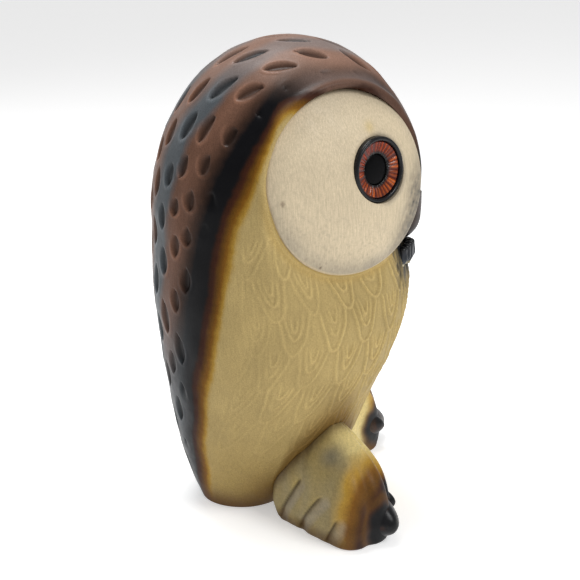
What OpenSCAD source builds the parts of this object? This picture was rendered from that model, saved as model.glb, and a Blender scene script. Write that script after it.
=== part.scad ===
// Ceramic owl figurine, an assembly of cast pieces luted together.
// Millimetres, +Z up. Origin: centre of the flat underside that the owl stands on.
// The owl faces -Y, so its right side is -X. Left pieces mirror the right ones.

/* [Overall] */
// Height of the owl, every other length follows it
owl_h = 190; // [120:5:260]

/* [Body castings] */
// Thickness of the cast wall
wall = 5.5; // [4.5:0.5:6.5]
// Half width of the body at its widest
body_half_w = 48; // [46:0.5:50]
// Gap left in a luted seam
seam_gap = 0.2; // [0.1:0.05:0.3]
// Radius of the vent hole in the base
vent_r = 5; // [3:0.5:8]

/* [Face discs] */
// Radius of a face disc
disc_r = 34.5; // [33:0.5:35]
// Height of a face disc's dome over its rim
disc_dome = 8.5; // [6:0.5:10]
// Angle of a face disc from straight ahead
disc_splay = 57.8; // [56:0.2:60]
// Angle that a face disc leans back
disc_tilt = 8.9; // [6:0.1:11]
// Height of the disc centres
disc_z = 138.6; // [137:0.2:140]

/* [Eyes] */
// Outer radius of the eye socket
socket_r = 12.4; // [11.5:0.1:13]
// Radius of the iris
iris_r = 10.5; // [9:0.1:10.8]
// Radius of the pupil
pupil_r = 5.7; // [4:0.1:7]
// Angle of an eye from straight ahead
eye_splay = 47.6; // [45:0.2:52]
// Angle that an eye looks up
eye_tilt = 4; // [1:0.5:7]

/* [Beak] */
// Half width of the beak at its root
beak_half_w = 6; // [5:0.1:6.2]
// Number of ribs in the bristle tuft
bristle_ribs = 5; // [3:2:7]

/* [Feet] */
// Scale of the foot outline
foot_spread = 1; // [0.95:0.01:1.04]
// Height of the foot where it meets the body
foot_h = 45; // [40:1:48]
// Radius of a claw
claw_r = 5.8; // [5:0.1:6.2]

/* [Hidden] */

$fn = 64;
ref_h = 190;                    // the numbers below hold at this height
cap_z = 118;                    // the crown's dome starts here
cap_pow = 2.3;
join_z = 134;                   // the hood closes round the head above this
body_w0 = 48;

// Body outline by height: front, back and half width, then the front's roundness
z_keys = [0, 12, 28, 48, 72, 95, 118];
front_keys = [-17.5, -33, -45, -54, -65.2, -70.4, -75.4];
back_keys = [19, 23.2, 26.8, 29.5, 31.7, 33, 31.8];
width_keys = [17.5, 25, 33, 40.5, 45.5, 47.5, body_w0];
round_z = [0, 60, 100, 125, 150, 190];
round_keys = [2, 1.9, 1.55, 1.5, 1.7, 2];
dent_z = 112;                   // hollow of the throat, behind the beak
dent_deep = 7;
dent_tall = 13;
crown_drift = 1.2;             // the crown leans this far forward

// Seam between mantle and breast, as a line in the side view
seam_z = [0, 30, 57, 88, 108, 122, join_z];
seam_y = [13, 12.5, 9, 3.5, -2, -8, -15];

disc_c = [-26.3, -44.5, disc_z];
seat_deep = 5;
fit_gap = 0.12;
floor_z = 6;
plug_r = 14;
plug_h = 3.5;

eye_in = 10.5;                  // eye centre, from the disc centre towards the beak
eye_up = 3.4;
eye_out = 6.9;

foot_c = [-22, -34];
foot_dirs = [-180, -150, -90, -30, 0, 12, 22, 30, 38, 46, 59, 69, 77, 88, 103, 137, 160, 180];
foot_reach = [22, 15, 14, 14.5, 14.5, 15.5, 19.5, 26.5, 30, 34.5, 36, 36, 35, 31, 24.5, 20.5, 22.5, 22];
toe_gaps = [38, 62, 92, 122, 152];
peg_r = 4;
peg_h = 10;

// ---- general functions ----
function span(keys, t) = max(0, min(len(keys) - 2, len([for (q = keys) if (q <= t) 1]) - 1));
function slope(keys, vals, i) =
    let (a = max(i - 1, 0), b = min(i + 1, len(keys) - 1))
    (vals[b] - vals[a]) / (keys[b] - keys[a]);
// Smooth curve through the keys
function curve(keys, vals, t) =
    let (i = span(keys, t), h = keys[i + 1] - keys[i], u = max(0, min(1, (t - keys[i]) / h)))
    (2 * u ^ 3 - 3 * u ^ 2 + 1) * vals[i]
    + (u ^ 3 - 2 * u ^ 2 + u) * h * slope(keys, vals, i)
    + (3 * u ^ 2 - 2 * u ^ 3) * vals[i + 1]
    + (u ^ 3 - u ^ 2) * h * slope(keys, vals, i + 1);
function smooth(u) = let (t = max(0, min(1, u))) t * t * (3 - 2 * t);
function facing(splay, tilt) = [-sin(splay) * cos(tilt), -cos(splay) * cos(tilt), sin(tilt)];
function bell(d, width) = exp(-(d / width) ^ 2);

// ---- body surface ----
function cap(z) = sqrt(max(0, 1 - max(0, (z - cap_z) / (ref_h - cap_z)) ^ cap_pow));
function mid_y(z) =
    let (zl = min(z, cap_z), up = max(0, (z - cap_z) / (ref_h - cap_z)))
    (curve(z_keys, front_keys, zl) + curve(z_keys, back_keys, zl)) / 2
    - crown_drift * smooth(up * 1.4);
function half_d(z) =
    let (zl = min(z, cap_z))
    (curve(z_keys, back_keys, zl) - curve(z_keys, front_keys, zl)) / 2;
function half_w(z) =
    curve(z_keys, width_keys, min(z, cap_z))
    + (body_half_w - body_w0) * smooth(z / cap_z);
function dent(z) = dent_deep * bell(z - dent_z, dent_tall);
// Point at height z and angle a, 0 to the front and 90 to the owl's right
function ring_point(z, a, inset) =
    let (
        ahead = cos(a) > 0,
        p = ahead ? curve(round_z, round_keys, z) : 2,
        k = (abs(sin(a)) ^ p + abs(cos(a)) ^ p) ^ (-1 / p),
        c = cap(z),
        w = (half_w(z) - inset) * c,
        d = (half_d(z) - inset) * c - (ahead ? dent(z) * cos(a) : 0),
        up = max(0, (z - cap_z) / (ref_h - cap_z))
    )
    [-w * sin(a) * k, mid_y(z) - d * cos(a) * k, z - inset * up];
disc_n = facing(disc_splay, disc_tilt);
disc_h = [-cos(disc_splay), sin(disc_splay), 0];
disc_v = cross(disc_h, disc_n);
// Push a point back where it stands too far over a face disc's rim plane
function sunk(q, high, low, reach) =
    let (
        s = q[0] > 0 ? 1 : -1,
        m = [-abs(q[0]), q[1], q[2]],
        d = m - disc_c,
        over = d * disc_n,
        side = d - over * disc_n,
        r = max(0.01, norm(side)),
        rise = side * disc_v / r,
        limit = (high + low) / 2 + (high - low) / 2 * rise,
        push = max(0, over - limit) * (1 - smooth((r - disc_r - 1) / reach)),
        out = m - push * disc_n
    )
    [-s * min(0, out[0]), out[1], out[2]];
function outer(z, a) = sunk(ring_point(z, a, 0), 3.8, -2.6, 22);
function inner(z, a) =
    z <= floor_z
    ? let (q = ring_point(0, a, wall + 0.5)) [q[0], q[1], z]
    : sunk(ring_point(z, a, wall), -seat_deep - 5, -seat_deep - 5, 20);
function seam_angle(z) =
    acos(max(-1, min(1, (mid_y(z) - curve(seam_z, seam_y, z)) / (half_d(z) * cap(z)))));
// Is the point's ring position outside 1, on 1 or inside the body below 1
function level(x, y, z) =
    let (
        p = y < mid_y(z) ? curve(round_z, round_keys, z) : 2,
        d = half_d(z) * cap(z)
    )
    (abs(x / half_w(z)) ^ p + abs((y - mid_y(z)) / d) ^ p) ^ (1 / p);
// Height of the body's underside over a point of the floor
function belly(x, y, lo = 0, hi = 60, n = 10) =
    n == 0 ? (lo + hi) / 2
    : let (m = (lo + hi) / 2)
    level(x, y, m) > 1 ? belly(x, y, m, hi, n - 1) : belly(x, y, lo, m, n - 1);

// ---- shared shapes ----
function quad(a, b, c, d) = [[a, b, c], [a, c, d]];
module sized() {
    scale(owl_h / ref_h) children();
}
module on_side(s) {
    mirror([s > 0 ? 1 : 0, 0, 0]) children();
}
module looking(at, splay, tilt) {
    translate(at) rotate([0, 0, -90 - splay]) rotate([0, 90 - tilt, 0]) children();
}
module disc_seats() {
    for (s = [-1, 1]) {
        on_side(s) looking(disc_c, disc_splay, disc_tilt)
            translate([0, 0, -seat_deep]) cylinder(r = disc_r + fit_gap, h = 25, $fn = 96);
    }
}
module base_rebate() {
    translate([0, 0, -1]) cylinder(r = plug_r, h = plug_h + 1);
}

// ---- body castings ----
mantle_rows = 15;
crown_rows = 12;
back_cols = 30;
front_cols = 20;
breast_rows = 24;
breast_cols = 36;

// Heights of the mantle's rows: even up to the join, then closing over the crown
join_turn = acos(cap(join_z));
function mantle_z(i) =
    i <= mantle_rows
    ? join_z * i / mantle_rows
    : let (turn = join_turn + (89 - join_turn) * (i - mantle_rows) / crown_rows)
    cap_z + (ref_h - cap_z) * sin(turn) ^ (2 / cap_pow);
// Columns run round the back from one seam to the other, then round the front
function mantle_a(i, j) =
    let (m = seam_angle(min(mantle_z(i), join_z)))
    j <= back_cols
    ? m + (360 - 2 * m) * j / back_cols
    : -m + 2 * m * (j - back_cols) / front_cols;

module mantle_shell() {
    n = back_cols + front_cols;
    rows = mantle_rows + crown_rows;
    arcs = [for (i = [0:mantle_rows - 1], j = [0:back_cols]) [i, j]];
    rings = [for (i = [mantle_rows:rows], j = [0:n - 1]) [i, j]];
    spots = concat(arcs, rings);
    skin = [for (q = spots) outer(mantle_z(q[0]), mantle_a(q[0], q[1]))];
    core = [for (q = spots) inner(mantle_z(q[0]), mantle_a(q[0], q[1]))];
    size = len(spots);
    function at(i, j) =
        i < mantle_rows ? i * (back_cols + 1) + j
        : mantle_rows * (back_cols + 1) + (i - mantle_rows) * n + j % n;
    tip = 2 * size;
    arc_quads = [for (i = [0:mantle_rows - 1], j = [0:back_cols - 1])
        [at(i, j), at(i + 1, j), at(i + 1, j + 1), at(i, j + 1)]];
    ring_quads = [for (i = [mantle_rows:rows - 1], j = [0:n - 1])
        [at(i, j), at(i + 1, j), at(i + 1, j + 1), at(i, j + 1)]];
    skin_quads = concat(arc_quads, ring_quads);
    bottom = [for (j = [0:back_cols - 1]) [at(0, j), at(0, j + 1)]];
    rim = [for (j = [back_cols:n - 1]) [at(mantle_rows, j), at(mantle_rows, j + 1)]];
    left = [for (i = [0:mantle_rows - 1]) [at(i, back_cols), at(i + 1, back_cols)]];
    right = [for (i = [mantle_rows - 1:-1:0]) [at(i + 1, 0), at(i, 0)]];
    edges = concat(bottom, rim, left, right);
    faces = concat(
        [for (q = skin_quads, f = quad(q[3], q[2], q[1], q[0])) f],
        [for (q = skin_quads, f = quad(q[0], q[1], q[2], q[3])) [for (v = f) v + size]],
        [for (e = edges, f = quad(e[0], e[1], e[1] + size, e[0] + size)) [f[2], f[1], f[0]]],
        [for (j = [0:n - 1]) [at(rows, j + 1), tip, at(rows, j)]],
        [for (j = [0:n - 1]) [at(rows, j) + size, tip + 1, at(rows, j + 1) + size]]
    );
    top = ref_h - 0.02;
    peaks = [[0, mid_y(ref_h), top], [0, mid_y(ref_h), top - wall]];
    color("saddlebrown") sized() difference() {
        polyhedron(concat(skin, core, peaks), faces, convexity = 8);
        disc_seats();
        base_rebate();
    }
}

module breast_shell() {
    function row_z(i) = (join_z - seam_gap) * i / breast_rows;
    function col_a(i, j) =
        let (m = seam_angle(row_z(i)) - seam_gap / half_w(row_z(i)) * 57.3)
        -m + 2 * m * j / breast_cols;
    spots = [for (i = [0:breast_rows], j = [0:breast_cols]) [i, j]];
    skin = [for (q = spots) outer(row_z(q[0]), col_a(q[0], q[1]))];
    core = [for (q = spots) inner(row_z(q[0]), col_a(q[0], q[1]))];
    size = len(spots);
    cols = breast_cols + 1;
    quads = [for (i = [0:breast_rows - 1], j = [0:breast_cols - 1])
        [i * cols + j, (i + 1) * cols + j, (i + 1) * cols + j + 1, i * cols + j + 1]];
    last = breast_rows * cols;
    bottom = [for (j = [0:breast_cols - 1]) [j, j + 1]];
    top = [for (j = [0:breast_cols - 1]) [last + j + 1, last + j]];
    left = [for (i = [0:breast_rows - 1]) [(i + 1) * cols - 1, (i + 2) * cols - 1]];
    right = [for (i = [0:breast_rows - 1]) [(i + 1) * cols, i * cols]];
    edges = concat(bottom, top, left, right);
    faces = concat(
        [for (q = quads, f = quad(q[3], q[2], q[1], q[0])) f],
        [for (q = quads, f = quad(q[0], q[1], q[2], q[3])) [for (v = f) v + size]],
        [for (e = edges, f = quad(e[0], e[1], e[1] + size, e[0] + size)) [f[2], f[1], f[0]]]
    );
    color("darkkhaki") sized() difference() {
        polyhedron(concat(skin, core), faces, convexity = 8);
        disc_seats();
        base_rebate();
        beak_peg(fit_gap);
        tuft_peg(fit_gap);
        for (s = [-1, 1]) {
            on_side(s) foot_peg(fit_gap);
        }
    }
}

module base_plate() {
    color("tan") sized() difference() {
        cylinder(r = plug_r - fit_gap, h = plug_h - fit_gap);
        translate([0, 0, -1]) cylinder(r = vent_r, h = plug_h + 2);
    }
}

// ---- face ----
dome_r = (disc_r ^ 2 + disc_dome ^ 2) / (2 * disc_dome);
function dome_z(r) = sqrt(dome_r ^ 2 - r ^ 2) - dome_r + disc_dome;
eye_c = disc_c - eye_in * disc_h + eye_up * disc_v + eye_out * disc_n;

module face_disc(s) {
    edge = disc_r - 0.9;
    back = disc_r - 5.5;
    crown = [for (i = [0:12]) let (r = edge * (1 - i / 12)) [r, dome_z(r)]];
    hollow = [for (i = [0:8]) let (r = back * i / 8) [r, dome_z(r) - 5]];
    color("antiquewhite") sized() on_side(s) difference() {
        looking(disc_c, disc_splay, disc_tilt) rotate_extrude($fn = 96) polygon(concat(
            crown,
            hollow,
            [[back, -seat_deep + fit_gap], [disc_r, -seat_deep + fit_gap], [disc_r, -0.5]]
        ));
        looking(eye_c, eye_splay, eye_tilt)
            translate([0, 0, -12]) cylinder(r = socket_r + fit_gap, h = 30);
    }
}

module eye_socket(s) {
    color([0.1, 0.1, 0.12]) sized() on_side(s) looking(eye_c, eye_splay, eye_tilt)
        rotate_extrude() polygon([
            [0, -6.2], [socket_r, -6.2], [socket_r, 0.3], [socket_r - 0.4, 0.8],
            [iris_r + 0.8, 0.8], [iris_r + 0.15, 0.1], [iris_r + 0.15, -5], [0, -5]
        ]);
}

module iris(s) {
    color("orangered") sized() on_side(s) looking(eye_c, eye_splay, eye_tilt)
        rotate_extrude() polygon([
            [pupil_r + fit_gap, -4.9], [iris_r, -4.9], [iris_r, -0.6],
            [iris_r - 0.8, -0.4], [pupil_r + fit_gap, -1.9]
        ]);
}

module pupil(s) {
    color("black") sized() on_side(s) looking(eye_c, eye_splay, eye_tilt)
        rotate_extrude() polygon([
            [0, -4.9], [pupil_r, -4.9], [pupil_r, -2.4],
            [pupil_r - 0.8, -1.9], [pupil_r / 2, -1.7], [0, -1.6]
        ]);
}

// ---- beak and bristles ----
bedding = 0.3;                  // glaze between the body and what is set on it
beak_z = [109.3, 110.5, 113, 116.3, 118.5, 122, 128.5];
beak_front = [-68.9, -70.4, -72.5, -73.8, -74.1, -74.4, -74.6];
beak_peg_z = 121;
tuft_z = 104.2;
rib_pitch = 2.8;
rib_lead = 2.35;                // rib axis ahead of the body

// Front of the body at x, between the face discs
function front_y(x, z) =
    let (p = curve(round_z, round_keys, z), part = abs(x) / (half_w(z) * cap(z)))
    mid_y(z) - (half_d(z) * cap(z) - dent(z)) * (1 - part ^ p) ^ (1 / p);

module peg(r, z, lead, back) {
    y = front_y(0, z) - lead;
    translate([0, y, z]) rotate([-90, 0, 0]) cylinder(r = r, h = lead + back);
}
module beak_peg(gap) {
    peg(2.6 + gap, beak_peg_z, 1.3, 7 + gap);
}
module tuft_peg(gap) {
    peg(1.8 + gap, tuft_z, 2, 4 + gap);
}

module beak() {
    rows = 10;
    cols = 14;
    backs = 4;
    n = cols + backs;
    function row_z(i) = beak_z[6] + (beak_z[0] - beak_z[6]) * i / rows;
    function half(t) = beak_half_w * (0.35 + 0.65 * sin(180 * min(1, 0.2 + 0.8 * t)) ^ 0.8);
    function back(x, z) = front_y(x, z) - bedding;
    // Round the front from the owl's right, then back along the body
    points = [for (i = [0:rows], j = [0:n - 1])
        let (
            z = row_z(i),
            w = half(i / rows),
            a = 180 * j / cols,
            x = j <= cols ? -w * cos(a) : w * (1 - 2 * (j - cols) / backs),
            stand = j <= cols ? back(0, z) - curve(beak_z, beak_front, z) : 0
        )
        [x, back(x, z) - stand * max(0, sin(a)) ^ 0.8, z]];
    faces = concat(
        [for (i = [0:rows - 1], j = [0:n - 1], f = quad(
            i * n + (j + 1) % n, (i + 1) * n + (j + 1) % n, (i + 1) * n + j, i * n + j)) f],
        [[for (j = [n - 1:-1:0]) j]],
        [[for (j = [0:n - 1]) rows * n + j]]
    );
    color([0.2, 0.15, 0.12]) sized() union() {
        polyhedron(points, faces, convexity = 4);
        beak_peg(0);
    }
}

module bristle_tuft() {
    color([0.17, 0.19, 0.22]) sized() union() {
        for (i = [0:bristle_ribs - 1]) {
            x = (i - (bristle_ribs - 1) / 2) * rib_pitch;
            translate([x, front_y(x, tuft_z) - rib_lead, tuft_z - 5]) rotate_extrude($fn = 24)
                polygon([
                    [0, -0.4], [0.9, 0], [1.3, 1.2], [1.5, 3],
                    [1.5, 7.6], [1.1, 8.9], [0, 9.4]
                ]);
        }
        tuft_peg(0);
    }
}

// ---- feet ----
foot_rings = 8;
foot_steps = 48;
function foot_edge(dir) =
    foot_spread * curve(foot_dirs, foot_reach, dir)
    * (1 - 0.06 * max([for (g = toe_gaps) bell(dir - g, 5)]));
function foot_top(x, y, rho, dir) =
    let (
        groove = max([for (g = toe_gaps) bell(dir - g, 4)]) * smooth((rho - 0.55) / 0.3),
        free = (foot_h - 22 * rho ^ 1.4 - 2.2 * groove) * sqrt(1 - 0.85 * rho ^ 14)
    )
    max(0.5, min(free, belly(x, y) - 0.6));
function foot_point(i, j) =
    let (
        dir = -180 + 360 * j / foot_steps,
        rho = 1 - (1 - i / foot_rings) ^ 1.25,
        r = foot_edge(dir) * rho,
        x = foot_c[0] - r * sin(dir),
        y = foot_c[1] - r * cos(dir)
    )
    [x, y, foot_top(x, y, rho, dir)];

claw_dirs = [28, 48];
claw_tips = [28, 38];
claw_high = [11, 8];
claw_scale = [0.8, 1];
claw_long = 10;
module claw_at(i) {
    dir = claw_dirs[i];
    from = claw_tips[i] - claw_long;
    translate([foot_c[0] - from * sin(dir), foot_c[1] - from * cos(dir), claw_high[i]])
        rotate([0, 0, -90 - dir]) rotate([0, 90, 0]) children();
}
module foot_peg(gap) {
    translate([foot_c[0] + 1, foot_c[1], 12]) cylinder(r = peg_r + gap, h = 12 + peg_h + gap);
}

module foot(s) {
    n = foot_steps;
    size = foot_rings * n;
    tops = [for (i = [1:foot_rings], j = [0:n - 1]) foot_point(i, j)];
    // The sole draws in under the toes
    floor = [for (j = [0:n - 1]) let (q = foot_point(foot_rings, j), tuck = 0.25 * q[2])
        let (away = [q[0] - foot_c[0], q[1] - foot_c[1]], k = 1 - tuck / norm(away))
        [foot_c[0] + away[0] * k, foot_c[1] + away[1] * k, 0]];
    centre = [foot_c[0], foot_c[1], foot_top(foot_c[0], foot_c[1], 0, 0)];
    points = concat(tops, floor, [centre, [foot_c[0], foot_c[1], 0]]);
    faces = concat(
        [for (i = [0:foot_rings - 1], j = [0:n - 1], f = quad(
            (i + 1) * n + j, (i + 1) * n + (j + 1) % n,
            i * n + (j + 1) % n, i * n + j)) f],
        [for (j = [0:n - 1]) [j, (j + 1) % n, size + n]],
        [for (j = [0:n - 1]) [size + n + 1, size + (j + 1) % n, size + j]]
    );
    color("darkgoldenrod") sized() on_side(s) difference() {
        union() {
            polyhedron(points, faces, convexity = 8);
            foot_peg(0);
        }
        for (i = [0, 1]) {
            claw_at(i) cylinder(r = claw_r * claw_scale[i] + fit_gap, h = 20);
        }
    }
}

module claw(i, s) {
    r = claw_r * claw_scale[i];
    nose = [for (k = [0:8]) let (a = 90 * k / 8) [r * cos(a), claw_long - r + r * sin(a)]];
    color([0.12, 0.1, 0.1]) sized() on_side(s) claw_at(i)
        rotate_extrude() polygon(concat([[0, fit_gap], [r, fit_gap]], nose));
}

mantle_shell();
breast_shell();
base_plate();
face_disc(-1);  // face_disc_right
face_disc(1);  // face_disc_left
eye_socket(-1);  // eye_socket_right
eye_socket(1);  // eye_socket_left
iris(-1);  // iris_right
iris(1);  // iris_left
pupil(-1);  // pupil_right
pupil(1);  // pupil_left
beak();
bristle_tuft();
foot(-1);  // foot_right
foot(1);  // foot_left
claw(0, -1);  // claw_inner_right
claw(1, -1);  // claw_outer_right
claw(0, 1);  // claw_inner_left
claw(1, 1);  // claw_outer_left
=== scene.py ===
"""Looks of the ceramic owl: sculpted skins, glazes and brushwork around the CAD frame.

Shapes are worked out in millimetres at a height of 190, and scaled to the frame's height.
The owl faces -Y, and its right side is -X. Its left side is the mirror image.
"""
import math

import bmesh
import bpy
import numpy as np
from mathutils import Matrix, Vector
from mathutils.geometry import delaunay_2d_cdt


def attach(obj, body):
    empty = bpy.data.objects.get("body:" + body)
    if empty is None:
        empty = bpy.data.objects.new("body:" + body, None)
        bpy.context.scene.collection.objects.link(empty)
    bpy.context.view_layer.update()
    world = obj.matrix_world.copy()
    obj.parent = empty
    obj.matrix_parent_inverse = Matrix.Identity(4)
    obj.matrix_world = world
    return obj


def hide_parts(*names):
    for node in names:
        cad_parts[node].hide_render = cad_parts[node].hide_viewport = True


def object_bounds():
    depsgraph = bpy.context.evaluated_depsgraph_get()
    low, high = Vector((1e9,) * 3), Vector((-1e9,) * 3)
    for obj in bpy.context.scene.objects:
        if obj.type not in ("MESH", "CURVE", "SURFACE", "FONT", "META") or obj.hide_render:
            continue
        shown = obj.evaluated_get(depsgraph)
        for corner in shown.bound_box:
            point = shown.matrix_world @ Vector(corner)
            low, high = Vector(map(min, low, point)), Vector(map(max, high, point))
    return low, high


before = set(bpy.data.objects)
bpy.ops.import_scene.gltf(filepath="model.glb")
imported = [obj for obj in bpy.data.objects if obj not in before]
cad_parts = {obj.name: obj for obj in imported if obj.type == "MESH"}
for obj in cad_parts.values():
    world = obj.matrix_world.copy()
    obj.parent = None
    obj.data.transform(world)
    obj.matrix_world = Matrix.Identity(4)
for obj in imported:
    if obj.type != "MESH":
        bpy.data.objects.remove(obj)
CAD_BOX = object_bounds()

REF_H = 190.0
MM = (CAD_BOX[1].z - CAD_BOX[0].z) / REF_H          # metres per millimetre of the design

# ---------------------------------------------------------------- body outline
CAP_Z, CAP_POW, CAP_H = 118.0, 2.3, 72.0
CAP_RATE = 55.0                                     # run of the meridian per radian of the crown
TOP_Q = CAP_Z + CAP_RATE * math.pi / 2
JOIN_Z = 134.0
WALL = 5.5
Z_KEYS = [0, 12, 28, 48, 72, 95, 118]
FRONT = [-17.5, -33, -45, -54, -65.2, -70.4, -75.4]
BACK = [19, 23.2, 26.8, 29.5, 31.7, 33, 31.8]
WIDTH = [17.5, 25, 33, 40.5, 45.5, 47.5, 48]
ROUND_Z = [0, 60, 100, 125, 150, 190]
ROUND = [2, 1.9, 1.55, 1.5, 1.7, 2]
SEAM_Z = [0, 30, 57, 88, 108, 122, 134]
SEAM_Y = [13, 12.5, 9, 3.5, -2, -8, -15]
DENT_Z, DENT_DEEP, DENT_TALL = 112.0, 7.0, 13.0
CROWN_DRIFT = 1.2
BASE_R, VENT_R, BASE_H = 14.0, 5.0, 3.5

# Face discs and eyes
DISC_R, DISC_DOME, SEAT = 34.5, 8.5, 4.9
DISC_C = np.array([-26.3, -44.5, 138.6])
DISC_SPLAY, DISC_TILT = math.radians(57.8), math.radians(8.9)
EYE_SPLAY, EYE_TILT = math.radians(47.6), math.radians(4)
SOCKET_R, IRIS_R, PUPIL_R = 12.4, 10.5, 5.7

# Edge of the dark glaze on the flank: it leans forward with height, and then turns over the brow
EDGE_START = 13.5                                   # y at the floor
EDGE_LEAN, EDGE_LEAN_Z, EDGE_LEAN_POW = 28.5, 150.0, 2.2
BROW_TURN, BROW_Z, BROW_TALL = 18.0, 160.0, 14.5


def curve(keys, vals, t):
    """Smooth curve through the keys."""
    k, v, t = np.asarray(keys, float), np.asarray(vals, float), np.asarray(t, float)
    s = np.gradient(v, k)
    s[1:-1] = (v[2:] - v[:-2]) / (k[2:] - k[:-2])
    i = np.clip(np.searchsorted(k, t, side="right") - 1, 0, len(k) - 2)
    h = k[i + 1] - k[i]
    u = np.clip((t - k[i]) / h, 0, 1)
    return (
        (2 * u**3 - 3 * u**2 + 1) * v[i] + (u**3 - 2 * u**2 + u) * h * s[i]
        + (3 * u**2 - 2 * u**3) * v[i + 1] + (u**3 - u**2) * h * s[i + 1]
    )


def smooth(u):
    t = np.clip(u, 0, 1)
    return t * t * (3 - 2 * t)


def bell(d, width):
    return np.exp(-((d / width) ** 2))


def facing(splay, tilt):
    """Axes of a round seat: outward, back along its face, and up its face."""
    n = np.array([-math.sin(splay) * math.cos(tilt), -math.cos(splay) * math.cos(tilt), math.sin(tilt)])
    h = np.array([-math.cos(splay), math.sin(splay), 0.0])
    return n, h, np.cross(h, n)


DISC_N, DISC_H, DISC_V = facing(DISC_SPLAY, DISC_TILT)
EYE_N, EYE_H, EYE_V = facing(EYE_SPLAY, EYE_TILT)
EYE_IN, EYE_UP, EYE_OUT = 10.5, 3.4, 6.9            # from the disc's middle to the eye's
EYE_C = DISC_C - EYE_IN * DISC_H + EYE_UP * DISC_V + EYE_OUT * DISC_N


def meridian(q):
    """Height and crown taper at run q up the body."""
    turn = np.clip((q - CAP_Z) / CAP_RATE, 0, math.pi / 2)
    z = np.where(q < CAP_Z, q, CAP_Z + CAP_H * np.sin(turn) ** (2 / CAP_POW))
    return z, np.cos(turn)


def run_at(z):
    """The run q at height z."""
    part = np.clip((np.asarray(z, float) - CAP_Z) / CAP_H, 0, 1)
    return np.where(part > 0, CAP_Z + CAP_RATE * np.arcsin(part ** (CAP_POW / 2)), z)


def mid_y(z):
    """Middle of the body, front to back."""
    low, up = np.minimum(z, CAP_Z), np.maximum(0, (z - CAP_Z) / CAP_H)
    return (curve(Z_KEYS, FRONT, low) + curve(Z_KEYS, BACK, low)) / 2 - CROWN_DRIFT * smooth(up * 1.4)


def half_d(z):
    low = np.minimum(z, CAP_Z)
    return (curve(Z_KEYS, BACK, low) - curve(Z_KEYS, FRONT, low)) / 2


def half_w(z):
    return curve(Z_KEYS, WIDTH, np.minimum(z, CAP_Z))


def dent(z):
    """How far the front is drawn in between the face discs."""
    return DENT_DEEP * bell(z - DENT_Z, DENT_TALL)


def ring_point(q, a, inset=0.0):
    """Point of the plain body at run q and angle a in degrees, 0 to the front, 90 to the right."""
    z, cap = meridian(q)
    sa, ca = np.sin(np.radians(a)), np.cos(np.radians(a))
    ahead = ca > 0
    p = np.where(ahead, curve(ROUND_Z, ROUND, z), 2.0)
    k = (np.abs(sa) ** p + np.abs(ca) ** p) ** (-1 / p)
    w = (half_w(z) - inset) * cap
    d = (half_d(z) - inset) * cap - np.where(ahead, dent(z) * ca, 0)
    up = np.maximum(0, (z - CAP_Z) / CAP_H)
    return np.stack([-w * sa * k, mid_y(z) - d * ca * k, z - inset * up], -1)


def locate(p):
    """Angle a of a point, and its level: 1 on the body, over 1 outside it."""
    x, y, z = np.abs(p[..., 0]), p[..., 1], p[..., 2]
    part = np.clip((z - CAP_Z) / CAP_H, 0, 0.99999)
    cap = np.sqrt(1 - part**CAP_POW)
    w, d0, m = half_w(z) * cap, half_d(z) * cap, mid_y(z)
    d = d0
    for _ in range(6):
        a = np.arctan2(x / w, (m - y) / d)
        ahead = np.cos(a) > 0
        d = d0 - np.where(ahead, dent(z) * np.cos(a), 0)
    pw = np.where(ahead, curve(ROUND_Z, ROUND, z), 2.0)
    level = ((x / w) ** pw + (np.abs(m - y) / d) ** pw) ** (1 / pw)
    return np.degrees(a), np.where(z >= REF_H, 9.0, level)


def disc_place(p):
    """Height over a face disc's rim plane, distance r from its axis, how far up, and the offset itself."""
    m = np.array(p, float)
    m[..., 0] = -np.abs(m[..., 0])
    d = m - DISC_C
    over = d @ DISC_N
    side = d - over[..., None] * DISC_N
    r = np.maximum(np.linalg.norm(side, axis=-1), 0.01)
    return over, r, side @ DISC_V / r, side


def sunk(p, high, low, reach):
    """Push points back where they stand too far over a face disc's rim plane."""
    over, r, rise, _ = disc_place(p)
    limit = (high + low) / 2 + (high - low) / 2 * rise
    push = np.maximum(0, over - limit) * (1 - smooth((r - DISC_R - 1) / reach))
    out = p.copy()
    out[..., 0] = -np.abs(out[..., 0])
    out = out - push[..., None] * DISC_N
    out[..., 0] = np.minimum(0, out[..., 0]) * np.where(p[..., 0] > 0, -1, 1)
    return out


def outer(q, a):
    """The body with the seats of the face discs sunk in."""
    return sunk(ring_point(q, a), 3.8, -2.6, 22)


def flank_angle(z, y):
    """Angle round the body at which its side view shows y at height z."""
    _, cap = meridian(run_at(z))
    return np.degrees(np.arccos(np.clip((mid_y(z) - y) / (half_d(z) * cap), -1, 1)))


def seam_angle(z):
    return flank_angle(z, curve(SEAM_Z, SEAM_Y, z))


def edge_y(z):
    """Where the dark glaze ends on the flank, in side view."""
    over_brow = np.maximum(0, (z - BROW_Z) / BROW_TALL)
    return EDGE_START - EDGE_LEAN * (z / EDGE_LEAN_Z) ** EDGE_LEAN_POW - BROW_TURN * over_brow**3


# ---------------------------------------------------------------- mantle coordinates
SPINE_Y = -22.0                                     # axis that the crown's sections turn about
SPINE_RATE = 62.0
SPINE_DEEP = 53.6                                   # from that axis to the back of the crown


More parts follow.
